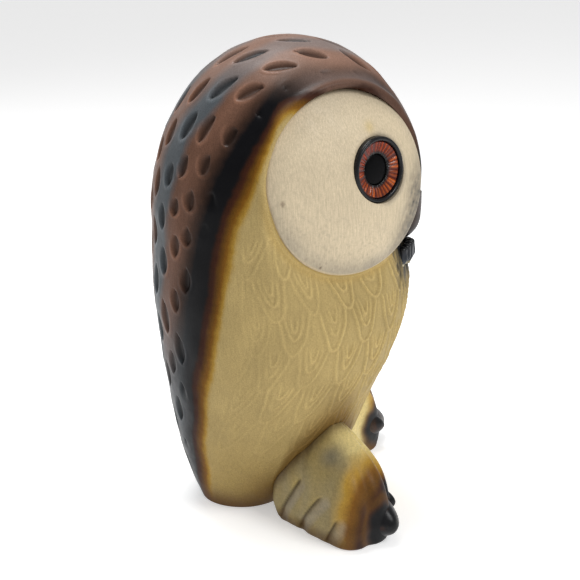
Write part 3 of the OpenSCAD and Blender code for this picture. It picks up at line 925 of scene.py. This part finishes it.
def disc_material():
    """Ivory glaze with fine hatched brush marks."""
    hatch = (1900, 3, (1, 1, 0.11))
    return glaze(
        "ivory_glaze", [((2600, 2), 0.9, 1.07), (hatch, 0.86, 1.09)],
        ((260, 4), 0.46, 0.6), [(hatch, 0.35, 0.14), ((500, 4), 0.15, 0.1)], 0.4,
    )[0]


def gloss_material(name, low, high, shine):
    """Painted glaze with an even gloss."""
    return glaze(name, [((900, 4), 0.8, 1.2)], ((400, 4), low, high), [((600, 3), 0.15, 0.12)], shine)[0]


def foot_material():
    stroke = (900, 3, (0.16, 1.0, 1.0))
    return glaze(
        "foot_glaze", [((2300, 2), 0.88, 1.12), (stroke, 0.88, 1.1)],
        ((300, 4), 0.4, 0.58), [(stroke, 0.25, 0.14), ((600, 4), 0.15, 0.1)], 0.2,
    )[0]


def clay_material():
    return glaze("bare_clay", [((500, 5), 0.85, 1.1)], ((900, 4), 0.75, 0.95), [((1500, 5), 0.4, 0.15)])[0]


# ---------------------------------------------------------------- face discs
def dome_z(r):
    """Height of the disc's dome over its rim plane."""
    big = (DISC_R**2 + DISC_DOME**2) / (2 * DISC_DOME)
    return np.sqrt(np.maximum(0, big**2 - r**2)) - big + DISC_DOME


def disc_point(x, y, z):
    return DISC_C + x[:, None] * DISC_H + y[:, None] * DISC_V + z[:, None] * DISC_N


def eye_point(x, y, z):
    return EYE_C + x[:, None] * EYE_H + y[:, None] * EYE_V + z[:, None] * EYE_N


def bore_ring(r, n):
    """Where the eye's bore, widened to radius r, meets the dome, on the disc's plane."""
    turn = np.arange(n) * 2 * math.pi / n
    x, y = r * np.cos(turn), r * np.sin(turn)
    lo, hi = np.full(n, -25.0), np.full(n, 25.0)
    for _ in range(45):
        t = (lo + hi) / 2
        d = eye_point(x, y, t) - DISC_C
        u, v, w = d @ DISC_H, d @ DISC_V, d @ DISC_N
        out = w > dome_z(np.minimum(np.hypot(u, v), DISC_R))
        lo, hi = np.where(out, lo, t), np.where(out, t, hi)
    return np.stack([u, v], -1)


def eye_radius(x, y, z):
    d = disc_point(x, y, z) - EYE_C
    return np.hypot(d @ EYE_H, d @ EYE_V)


DISC_EDGE = 0.95                                    # rounding of the rim
BORE = SOCKET_R + 0.06


def disc_paint(pos):
    """Ivory with grey brushwork, darker next to the beak, with a painted highlight on the rim."""
    d = pos - DISC_C
    u, v = d @ DISC_H, d @ DISC_V
    r = np.hypot(u, v)
    low_side = smooth((-v / DISC_R * 0.9 + 0.35 * u / DISC_R + 0.1) * 1.2)
    shade = smooth((r - DISC_R + 9) / 9) * low_side
    paint = mix(IVORY, GREY * 0.9, np.clip(0.42 * shade + 0.1 * ripple(pos, 9, 31) * shade, 0, 1))
    beakward = smooth((-u - 12) / 16) * smooth((-v + 10) / 20) * smooth((r - 19) / 13)
    paint = mix(paint, GREY * 0.26, (0.74 + 0.2 * ripple(pos, 2.2, 37)) * beakward)
    paint = paint * (1 + 0.03 * ripple(pos, 18, 33)[:, None])
    speck = smooth((ripple(pos, 1.3, 35) - 0.6) / 0.5) * low_side
    paint = mix(paint, GREY * 0.7, 0.22 * speck)
    paint = mix(paint, GREY, 0.3 * smooth((r - DISC_R + 6) / 7) * smooth((-u + 14) / 20))
    across = (pos - EYE_C) @ EYE_H
    socket = np.hypot(across, (pos - EYE_C) @ EYE_V) - BORE
    paint = mix(paint, GREY * 0.6, 0.45 * smooth((2.4 - socket) / 2.4) * smooth((-across + 4) / 8))
    # Painted highlight along the rounded edge of the rim
    paint = mix(paint, IVORY * 1.12, 0.8 * smooth((r - DISC_R + 0.9) / 0.6) * smooth((d @ DISC_N + 2) * 1.0))
    smear = bell(u + 9, 2.0) * bell(v - 19.5, 2.2)
    paint = mix(paint, srgb(196, 170, 104), 0.5 * smear)
    chip = bell(u - 29.5, 0.5) * bell(v + 3, 0.9) + bell(u - 16, 0.45) * bell(v + 29, 0.4)
    return mix(paint, BROWN * 0.7, np.clip(chip, 0, 1))


def face_disc(material, sign, side_name):
    """A domed disc with a rounded rim, a socket bored into it, and its flat back in the seat."""
    step = 0.8
    pts, edges = [], []

    def put(block, ring=False):
        first = sum(len(b) for b in pts)
        pts.append(block)
        ids = first + np.arange(len(block))
        if ring:
            edges.extend(zip(ids, np.roll(ids, -1)))

    n_rim = 288
    turn = np.arange(n_rim) * 2 * math.pi / n_rim
    circle = np.stack([np.cos(turn), np.sin(turn)], -1)
    put(circle * DISC_R, ring=True)
    for k in range(1, 7):
        put(circle * (DISC_R - DISC_EDGE * (1 - math.cos(k * math.pi / 12)) * 1.6))
    for wider in (-0.03, 0, 0.25, 0.6, 1.1):
        put(bore_ring(BORE + wider, 120), ring=wider <= 0)
    g = np.arange(-DISC_R, DISC_R, step)
    gx, gy = np.meshgrid(g, g * 0.9)
    gx = gx + np.where(np.arange(len(g)) % 2, step / 2, 0)[:, None]
    gx, gy = gx.ravel(), gy.ravel()
    r = np.hypot(gx, gy)
    er = eye_radius(gx, gy, dome_z(np.minimum(r, DISC_R)))
    keep = (r < DISC_R - 1.9) & (er > BORE + 1.6)
    put(np.stack([gx, gy], -1)[keep])
    inside = (er < BORE - 1.5) & (np.round(gx / step) % 4 == 0) & (np.round(gy / step) % 4 == 0)
    put(np.stack([gx, gy], -1)[inside])
    flat, tris = triangulate(np.concatenate(pts), edges)
    x, y = flat[:, 0], flat[:, 1]
    r = np.hypot(x, y)
    z = dome_z(np.minimum(r, DISC_R))
    lip = np.clip((DISC_R - r) / DISC_EDGE, 0, 1)
    z = z - 1.1 * (1 - np.sqrt(np.maximum(0, 1 - (1 - lip) ** 2)))
    er = eye_radius(x, y, dome_z(np.minimum(r, DISC_R)))
    # A low turned lip stands round the socket
    z = z + 0.25 * bell(er - BORE - 0.9, 0.7)
    top = disc_point(x, y, z)
    hole = er < BORE - 0.015
    d = top - EYE_C
    floor = EYE_C + (d @ EYE_H)[:, None] * EYE_H + (d @ EYE_V)[:, None] * EYE_V - 6.25 * EYE_N
    top[hole] = floor[hole]
    loop = border_loop(tris)
    verts, faces = [top], [tuple(t) for t in tris]
    last, count = loop, len(top)
    for k, depth in enumerate((-SEAT + 0.5, -SEAT + 0.05)):
        size = 1 - 0.012 * k
        low = disc_point(x[loop] * size, y[loop] * size, np.full(len(loop), depth))
        ids = count + np.arange(len(loop))
        verts.append(low)
        faces += list(zip(last, np.roll(last, -1), np.roll(ids, -1), ids))
        last, count = ids, count + len(loop)
    faces.append(tuple(last))
    pos = np.concatenate(verts)
    paint = disc_paint(pos)
    node = f"face_disc_{side_name}"
    piece(f"disc_{side_name}", [node], material, pos, faces, paint, 0.9, sign)


# ---------------------------------------------------------------- eyes
def lathe(profile, segments, lift=None):
    """A turned solid in the eye's own frame: points, faces, and each point's radius and turn."""
    prof = np.asarray(profile, float)
    turn = np.arange(segments) * 2 * math.pi / segments
    r = np.repeat(prof[:, 0], segments)
    z = np.repeat(prof[:, 1], segments)
    t = np.tile(turn, len(prof))
    if lift is not None:
        z = z + lift(r, t, z)
    faces = tube(len(prof) - 1, segments, caps=False)
    faces.append(tuple(range(segments))[::-1])
    faces.append(tuple((len(prof) - 1) * segments + j for j in range(segments)))
    return r, t, z, faces


def eye_piece(name, node, material, sign, rtz, faces, paint, crisp=0.8):
    r, t, z = rtz
    pos = eye_point(r * np.cos(t), r * np.sin(t), z)
    piece(name, [node], material, pos, faces, paint, crisp, sign)


def arc(cx, cz, r, start, stop, n):
    ang = np.radians(np.linspace(start, stop, n))
    return [(cx + r * math.cos(t), cz + r * math.sin(t)) for t in ang]


def eyes(gloss, amber, jet, sign, side_name):
    # Cup with a rolled rim
    rim_r = (SOCKET_R - IRIS_R - 0.15) / 2
    mid = (SOCKET_R + IRIS_R + 0.15) / 2
    cup = [(0.01, -6.15), (SOCKET_R - 0.5, -6.15), (SOCKET_R, -5.7)]
    cup += arc(mid, -0.25, rim_r, 0, 180, 17)
    cup += [(IRIS_R + 0.15, -4.9), (0.01, -4.9)]
    r, t, z, faces = lathe(cup, 128)
    paint = srgb(14, 14, 17)
    node = f"eye_socket_{side_name}"
    eye_piece(f"socket_{side_name}", node, gloss, sign, (r, t, z), faces, paint)

    # Iris: a shallow cone with raised rays
    rays = np.random.default_rng(11)
    count = 34
    place = (np.arange(count) + 0.5 * rays.random(count)) * 2 * math.pi / count
    power = 0.3 + 0.7 * rays.random(count)
    hue = rays.random(count)

    def ray_at(t):
        gap = np.abs((t[:, None] - place + math.pi) % (2 * math.pi) - math.pi)
        return bell(gap, 0.05) * power, gap

    def lift(r, t, z):
        ray = ray_at(t)[0].max(1)
        face = (z > -2.5) & (r > PUPIL_R + 0.2) & (r < IRIS_R - 0.15)
        span = np.clip((r - PUPIL_R) / (IRIS_R - PUPIL_R), 0, 1)
        return np.where(face, 0.6 * ray * np.sin(np.pi * span) ** 0.7, 0)

    face_r = np.linspace(PUPIL_R + 0.12, IRIS_R - 0.5, 22)
    cone = [(PUPIL_R + 0.12, -4.85), (IRIS_R, -4.85), (IRIS_R, -0.75), (IRIS_R - 0.25, -0.5)]
    cone += [(q, -1.9 + 1.45 * (q - PUPIL_R) / (IRIS_R - PUPIL_R)) for q in face_r[::-1]]
    prof = np.asarray(cone)
    segments = 360
    r, t, z, faces = lathe(prof, segments, lift)
    faces = faces[:-2]
    a, b = (len(prof) - 1) * segments, 0
    faces += [(a + j, a + (j + 1) % segments, b + (j + 1) % segments, b + j) for j in range(segments)]
    bells, gap = ray_at(t)
    ray = bells.max(1)
    tint = hue[np.argmin(gap, 1)]
    span = np.clip((r - PUPIL_R) / (IRIS_R - PUPIL_R), 0, 1)
    # Painted highlight: the rays are brighter on the lower side of the iris
    low = 0.5 - 0.5 * np.sin(t + 0.5)
    deep = mix(srgb(72, 16, 5), srgb(24, 6, 3), smooth(1 - span * 2.2))
    bright = ramp(tint, [(0, srgb(132, 38, 8)), (0.5, srgb(156, 56, 12)), (1, srgb(116, 26, 6))])
    bright = mix(bright, srgb(206, 104, 30), 0.7 * low)
    paint = mix(deep, bright, np.clip(ray * 1.2, 0, 1) * smooth((span - 0.15) / 0.25))
    paint = mix(srgb(5, 4, 4), paint, smooth((span - 0.09) / 0.12))
    paint = mix(paint, srgb(70, 40, 44), smooth((span - 0.9) / 0.1) * 0.8)
    name = f"iris_{side_name}"
    eye_piece(name, name, amber, sign, (r, t, z), faces, paint, 1.2)

    plug = [(0.01, -4.85), (PUPIL_R - 0.02, -4.85), (PUPIL_R - 0.02, -2.4)]
    plug += [(PUPIL_R * math.cos(k) * 0.985, -2.4 + 0.72 * math.sin(k)) for k in np.linspace(0.2, 1.55, 12)]
    r, t, z, faces = lathe(plug, 96)
    name = f"pupil_{side_name}"
    eye_piece(name, name, jet, sign, (r, t, z), faces, srgb(3, 3, 4))


# ---------------------------------------------------------------- beak and bristles
def front_y(x, z):
    """The body's front surface."""
    p = curve(ROUND_Z, ROUND, z)
    part = np.clip((z - CAP_Z) / CAP_H, 0, 1)
    cap = np.sqrt(1 - part**CAP_POW)
    share = np.abs(x) / (half_w(z) * cap)
    return mid_y(z) - (half_d(z) * cap - dent(z)) * (1 - share**p) ** (1 / p)


BEAK_Z = [109.3, 110.5, 113, 116.3, 118.5, 122, 128.5]
BEAK_Y = [-68.9, -70.4, -72.5, -73.8, -74.1, -74.4, -74.6]
BEAK_W = 6.0


def beak(material):
    """A narrow hooked horn along the front."""
    rows, cols = 64, 56
    t = np.repeat(np.arange(rows + 1) / rows, cols)
    turn = np.tile(np.arange(cols) * 2 * math.pi / cols, rows + 1)
    z = BEAK_Z[-1] + (BEAK_Z[0] - BEAK_Z[-1]) * t
    half = BEAK_W * (0.35 + 0.65 * np.maximum(0, np.sin(math.pi * np.minimum(1, 0.2 + 0.8 * t))) ** 0.8)
    half = half * np.sqrt(np.clip(1 - ((t - 0.9) / 0.1).clip(0, 1) ** 2, 0.02, 1))
    x = -half * np.cos(turn)
    back = front_y(x, z) + 0.4
    stand = front_y(0 * z, z) - curve(BEAK_Z, BEAK_Y, z)
    ahead = np.sin(turn)
    ridge = 1 - 0.16 * np.abs(x / np.maximum(half, 0.1))
    y = np.where(ahead > 0, front_y(x, z) - stand * np.maximum(ahead, 0) ** 0.75 * ridge, back)
    grow = smooth(t / 0.05) * 0.9 + 0.1
    y = back + (y - back) * grow
    verts = np.stack([x, y, z], -1)
    paint = ramp(t, [
        (0, srgb(24, 17, 14)), (0.25, srgb(44, 28, 20)), (0.7, srgb(38, 24, 17)), (1, srgb(16, 12, 12)),
    ])
    paint = paint * (1 + 0.25 * ripple(verts, 4, 41)[:, None])
    piece("beak_horn", ["beak"], material, verts, tube(rows, cols), paint)


TUFT_Z, RIB_PITCH, RIB_LEAD = 104.2, 2.8, 2.35


def bristles(material):
    """Rounded ribs that hang from under the beak and end in notched tips, with a painted highlight on the
    tips.
    """
    verts, faces, shades = [], [], []
    rows, cols = 40, 28
    for k in range(7):
        out = abs(k - 3)
        cx = (k - 3) * RIB_PITCH
        lead = (RIB_LEAD, 2.0, 1.5, 1.0)[out]
        top = TUFT_Z + 4.4 - 0.35 * out
        bottom = TUFT_Z - 5.35 + 0.5 * (k % 2) + 0.25 * out
        t = np.repeat(np.arange(rows + 1) / rows, cols)
        turn = np.tile(np.arange(cols) * 2 * math.pi / cols, rows + 1)
        z = top + (bottom - top) * t
        thick = 1.75 * np.sqrt(np.clip(1 - ((0.15 - t) / 0.15).clip(0, 1) ** 2, 0.02, 1))
        thick = thick * (1 - 0.75 * smooth((t - 0.62) / 0.38))
        cut = 0.1 * np.sin(turn * 5 + k) * smooth((t - 0.2) / 0.3)
        x = cx + thick * (1 + cut) * np.cos(turn)
        y = front_y(np.full(len(z), cx), np.full(len(z), TUFT_Z)) - lead - 0.12 * np.sin(t * math.pi)
        y = y + thick * (1 + cut) * np.sin(turn)
        first = sum(len(v) for v in verts)
        verts.append(np.stack([x, y, z], -1))
        faces += tube(rows, cols, first)
        # Dark ribs, with a painted highlight on the pale tips
        shades.append(ramp(t, [
            (0, srgb(10, 10, 12)), (0.55, srgb(24, 28, 36)),
            (0.84, srgb(40, 46, 54)), (0.94, srgb(178, 168, 142)),
        ]))
    verts = np.concatenate(verts)
    paint = np.concatenate(shades) * (1 + 0.3 * ripple(verts, 2.5, 51)[:, None])
    piece("bristle_ribs", ["bristle_tuft"], material, verts, faces, paint)


# ---------------------------------------------------------------- feet and claws
CLAW_DIRS, CLAW_TIPS, CLAW_HIGH = (28, 48), (28, 38), (11, 8)
CLAW_LONG = 10.0
TOES_AT = math.radians(41)                          # direction the toes point in, from straight ahead


def belly(x, y):
    """Height of the body's underside over a point of the floor."""
    lo, hi = np.zeros(len(x)), np.full(len(x), 60.0)
    for _ in range(14):
        m = (lo + hi) / 2
        out = locate(np.stack([x, y, m], -1))[1] > 1
        lo, hi = np.where(out, m, lo), np.where(out, hi, m)
    return (lo + hi) / 2


def foot_paint(p, fold, facet):
    """Straw yellow at the back, through honey and oxblood to black at the toes, with painted highlights on
    the facets and painted shade in the folds and the crease.
    """
    x, y = p[:, 0] - FOOT_C[0], p[:, 1] - FOOT_C[1]
    ahead = -x * math.sin(TOES_AT) - y * math.cos(TOES_AT)
    aside = -x * math.cos(TOES_AT) + y * math.sin(TOES_AT)
    wave = ahead + 0.7 * ripple(p, 11, 61) - 0.004 * aside**2 + 0.12 * (20 - p[:, 2])
    paint = ramp(wave, [
        (6, STRAW), (17, STRAW * 0.9), (22.5, HONEY * 1.2), (26.5, AMBER), (29, AMBER * 0.6),
        (31, OXBLOOD), (32.5, BLACK),
    ])
    flank = smooth((aside - 3) / 12) * smooth((24 - wave) / 6)
    paint = mix(paint, mix(KHAKI * 0.62, GREY * 0.5, 0.3 + 0.3 * ripple(p, 12, 63)), 0.75 * flank)
    # Painted highlight on the lit facets between the folds, and painted shade down in the folds
    paint = mix(paint, srgb(150, 140, 122), 0.6 * facet * smooth((28 - wave) / 4))
    paint = mix(paint, BROWN * 0.35, 0.8 * smooth(fold * 1.6 - 0.5) * (1 - facet) * smooth((28 - wave) / 4))
    paint = mix(paint, AMBER * 0.5, 0.75 * smooth((9 - p[:, 2]) / 8) * smooth((29 - wave) / 5))
    # A grey spot on the outer side of the foot
    grey_spot = np.exp(-(((p - np.array([-41.6, -36.1, 34])) / np.array([4, 5, 5])) ** 2).sum(1))
    paint = mix(paint, srgb(96, 96, 92), 0.5 * grey_spot)
    for i in (0, 1):
        start, forward = claw_axis(i)
        along = np.clip((p - start) @ forward, 4.5, CLAW_LONG)
        away = np.linalg.norm(p - start - along[:, None] * forward, axis=1) + 0.5 * ripple(p, 7, 65)
        inward = -((p - start) @ np.array([forward[1], -forward[0], 0]))
        away = away + 3.5 * smooth((inward + 2) / 7)
        paint = mix(paint, AMBER * 0.7, 0.75 * smooth((15 - away) / 4))
        paint = mix(paint, OXBLOOD * 0.9, 0.8 * smooth((12.5 - away) / 3))
        paint = mix(paint, BLACK, smooth((11 - away) / 3))
    # Painted shade: brown in the crease against the body
    close = bell(np.maximum(0, locate(p)[1] - 1), 0.13)
    return mix(paint, BROWN * 0.6, 0.8 * close)


def claw_axis(i):
    """Root of a claw, and the way it points."""
    d = math.radians(CLAW_DIRS[i])
    tip, high = CLAW_TIPS[i], CLAW_HIGH[i]
    forward = np.array([-math.sin(d), -math.cos(d), 0])
    start = np.array([FOOT_C[0], FOOT_C[1], high]) + forward * (tip - CLAW_LONG)
    return start, forward


def foot(material, sign, side_name):
    """A wedge cut off by the body above, with folds between its toes."""
    rings, steps = 84, 420
    i = np.repeat(np.arange(1, rings + 1), steps)
    j = np.tile(np.arange(steps), rings)
    d = -180 + 360 * j / steps
    rho = 1 - (1 - i / rings) ** 1.35
    r = foot_edge(d) * rho
    x = FOOT_C[0] - r * np.sin(np.radians(d))
    y = FOOT_C[1] - r * np.cos(np.radians(d))
    z = foot_free(rho, d)
    z = np.maximum(0.5, np.minimum(z, belly(x, y) - 0.5))
    top = np.stack([x, y, z], -1)
    # The sole draws in under the toes
    rim = top[-steps:]
    away = rim[:, :2] - FOOT_C
    reach = np.linalg.norm(away, axis=1, keepdims=True)
    verts = [top]
    for share in (0.12, 0.24, 0.36, 0.48, 0.6, 0.72, 0.84, 0.93, 1.0):
        pull = 0.25 * rim[:, 2:] * share**1.5 + (0.4 if share == 1.0 else 0)
        verts.append(np.concatenate([FOOT_C + away * (1 - pull / reach), rim[:, 2:] * (1 - share)], 1))
    rows = rings + len(verts) - 2
    count = (rows + 1) * steps
    faces = tube(rows, steps, caps=False)
    faces.append(tuple(range(count - steps, count)))
    faces += [(count, (m + 1) % steps, m) for m in range(steps)]
    peak = min(FOOT_H, float(belly(FOOT_C[:1], FOOT_C[1:])[0]) - 0.5)
    verts.append(np.array([[*FOOT_C, peak]]))
    pos = np.concatenate(verts)
    around, turned = foot_polar(pos[:, 0], pos[:, 1])
    fold, facet = folds(turned, pos[:, 2], foot_edge(turned))
    fold = fold * smooth((around - 0.6) / 0.25) * smooth(pos[:, 2] / 2)
    away = pos[:, :2] - FOOT_C
    reach = np.linalg.norm(away, axis=1, keepdims=True)
    pos[:, :2] -= away / np.maximum(reach, 1) * (1.5 * fold)[:, None]
    paint = foot_paint(pos, fold, facet)
    node = f"foot_{side_name}"
    piece(f"{node}_slab", [node], material, pos, faces, paint, sign=sign)


def claw(material, i, sign, side_name):
    """A blunt cone that bends down to its tip and widens into the toe."""
    tall, wide, further, aside = ((8.4, 6.2, 2.2, 3.2), (10.0, 9.6, 0.8, 0.0))[i]
    start, forward = claw_axis(i)
    across = np.cross(forward, [0, 0, 1.0])
    rows, cols = 40, 56
    share = np.linspace(0, 1, rows + 1)
    share = 1 - (1 - share) ** 1.6
    size = np.sqrt(np.maximum(0.0005, 1 - share**1.6)) * (1 - 0.1 * share)
    run = np.repeat(-6 + (CLAW_LONG + further + 6) * share, cols)
    bend = np.repeat(-1.6 * share**2 + 1.2, cols)
    shift = np.repeat(aside * (1 - share), cols)
    turn = np.tile(np.arange(cols) * 2 * math.pi / cols, rows + 1)
    c, sn = np.cos(turn), np.sin(turn)
    round_off = (np.abs(c) ** 1.7 + np.abs(sn) ** 1.7) ** (-1 / 1.7)
    ring = np.repeat(size, cols) * round_off
    pos = start + run[:, None] * forward + (wide * ring * c + shift)[:, None] * across
    pos[:, 2] = np.maximum(0.2, pos[:, 2] + bend + tall * ring * sn)
    paint = mix(BLACK, OXBLOOD, 0.5 * smooth((ripple(pos, 7, 71 + i) - 0.2) / 0.8))
    inward = smooth((-c - 0.1) / 0.5) * smooth((0.8 - np.repeat(share, cols)) / 0.3) * (1 - i)
    paint = mix(paint, BROWN, 0.3 * inward)
    node = f"claw_{('inner', 'outer')[i]}_{side_name}"
    piece(f"{node}_tip", [node], material, pos, tube(rows, cols), paint, sign=sign)


def base_disc(material):
    """Clay floor of the body, with the vent hole."""
    seg = 96
    turn = np.arange(seg) * 2 * math.pi / seg
    big, small = BASE_R - 0.12, VENT_R
    top = BASE_H - 0.12
    prof = [(small + 0.4, 0), (big - 0.3, 0), (big, 0.3), (big, top), (small, top), (small, 0.4)]
    rings = [np.stack([r * np.cos(turn), r * np.sin(turn), np.full(seg, z)], -1) for r, z in prof]
    verts = np.concatenate(rings)
    n = len(prof) - 1
    faces = tube(n, seg, caps=False)
    faces += [(n * seg + j, n * seg + (j + 1) % seg, (j + 1) % seg, j) for j in range(seg)]
    piece("base_floor", ["base_plate"], material, verts, faces, CLAY, 0.6)


# ---------------------------------------------------------------- build
RINGS = [(DISC_R - 0.03, True), (DISC_R + 0.02, True)] + [
    (DISC_R + k, False) for k in (0.3, 0.62, 1.0, 1.5, 2.1, 2.8, 3.5)
]
fine = [triangulate(*chart_points(step, RINGS, 3.5)) for step in STEPS]
coarse = triangulate(*chart_points(4.5, [], 9.0, extra_q=(3.49, 3.51, 5.99)))
mantle_mat, breast_mat = body_material("mantle_glaze"), body_material("breast_glaze")
shell("mantle_skin", 0, "mantle_shell", mantle_mat, fine[0], coarse)
shell("breast_skin", 1, "breast_shell", breast_mat, fine[1], coarse)
ivory, gloss = disc_material(), gloss_material("black_glaze", 0.2, 0.34, 0.25)
amber, jet = gloss_material("amber_glaze", 0.18, 0.3, 0.3), gloss_material("pupil_glaze", 0.3, 0.45, 0.06)
horn = gloss_material("beak_glaze", 0.32, 0.46, 0.2)
ribs = gloss_material("bristle_glaze", 0.28, 0.42, 0.3)
toes, nails = foot_material(), gloss_material("claw_glaze", 0.26, 0.42, 0.25)
for side, label in ((-1, "right"), (1, "left")):
    face_disc(ivory, side, label)
    eyes(gloss, amber, jet, side, label)
    foot(toes, side, label)
    for which in (0, 1):
        claw(nails, which, side, label)
beak(horn)
bristles(ribs)
base_disc(clay_material())


# ---------------------------------------------------------------- stage, light and camera
def stage():
    mesh = bpy.data.meshes.new("floor")
    half = 40.0
    corners = [(-half, -half, 0), (half, -half, 0), (half, half, 0), (-half, half, 0)]
    mesh.from_pydata(corners, [], [(0, 1, 2, 3)])
    floor = bpy.data.objects.new("floor", mesh)
    floor.location.z = CAD_BOX[0].z
    bpy.context.scene.collection.objects.link(floor)
    mat, _, shader = nodes_for("floor_white")
    shader.inputs["Base Color"].default_value = (0.86, 0.86, 0.86, 1)
    shader.inputs["Emission Color"].default_value = (1, 1, 1, 1)
    shader.inputs["Emission Strength"].default_value = 0.4
    shader.inputs["Roughness"].default_value = 0.7
    mesh.materials.append(mat)


def light(name, place, target, size, power):
    lamp = bpy.data.lights.new(name, "AREA")
    lamp.shape = "RECTANGLE"
    lamp.size, lamp.size_y = size
    lamp.energy = power
    obj = bpy.data.objects.new(name, lamp)
    obj.location = place
    obj.rotation_euler = (Vector(target) - Vector(place)).to_track_quat("-Z", "Y").to_euler()
    bpy.context.scene.collection.objects.link(obj)


VIEW_AZ, VIEW_EL, VIEW_ROLL = math.radians(-88.76), math.radians(19.17), math.radians(-2.18)
VIEW_AT, VIEW_FAR = (0, -21.5, 88.24), 508.5        # point looked at, and distance to it
LENS, SENSOR = 78.39, 36


def camera():
    az, el, roll = VIEW_AZ, VIEW_EL, VIEW_ROLL
    back = Vector((math.sin(az) * math.cos(el), -math.cos(az) * math.cos(el), math.sin(el)))
    right = Vector((math.cos(az), math.sin(az), 0))
    up = back.cross(right)
    r2 = right * math.cos(roll) + up * math.sin(roll)
    u2 = -right * math.sin(roll) + up * math.cos(roll)
    cam = bpy.data.cameras.new("camera")
    cam.sensor_width, cam.lens = SENSOR, LENS
    obj = bpy.data.objects.new("camera", cam)
    place = (Vector(VIEW_AT) + back * VIEW_FAR) * MM
    turn = Matrix((r2, u2, back)).transposed().to_4x4()
    obj.matrix_world = Matrix.Translation(place) @ turn
    cam.clip_start, cam.clip_end = 0.01, 200
    bpy.context.scene.collection.objects.link(obj)
    bpy.context.scene.camera = obj


def studio():
    world = bpy.data.worlds.new("studio")
    world.use_nodes = True
    sky = world.node_tree.nodes["Background"]
    sky.inputs["Color"].default_value = (1, 1, 1, 1)
    sky.inputs["Strength"].default_value = 0.46
    bpy.context.scene.world = world
    bpy.context.scene.view_settings.view_transform = "Standard"
    light("key", (-0.42, -0.62, 0.72), (0, -0.02, 0.09), (0.35, 0.35), 4.2)
    light("top", (0.12, 0.06, 0.72), (0, 0, 0.15), (0.3, 0.3), 3.4)
    light("back", (0.5, 0.6, 0.5), (0, 0, 0.1), (0.5, 0.6), 1.4)


stage()
camera()
studio()
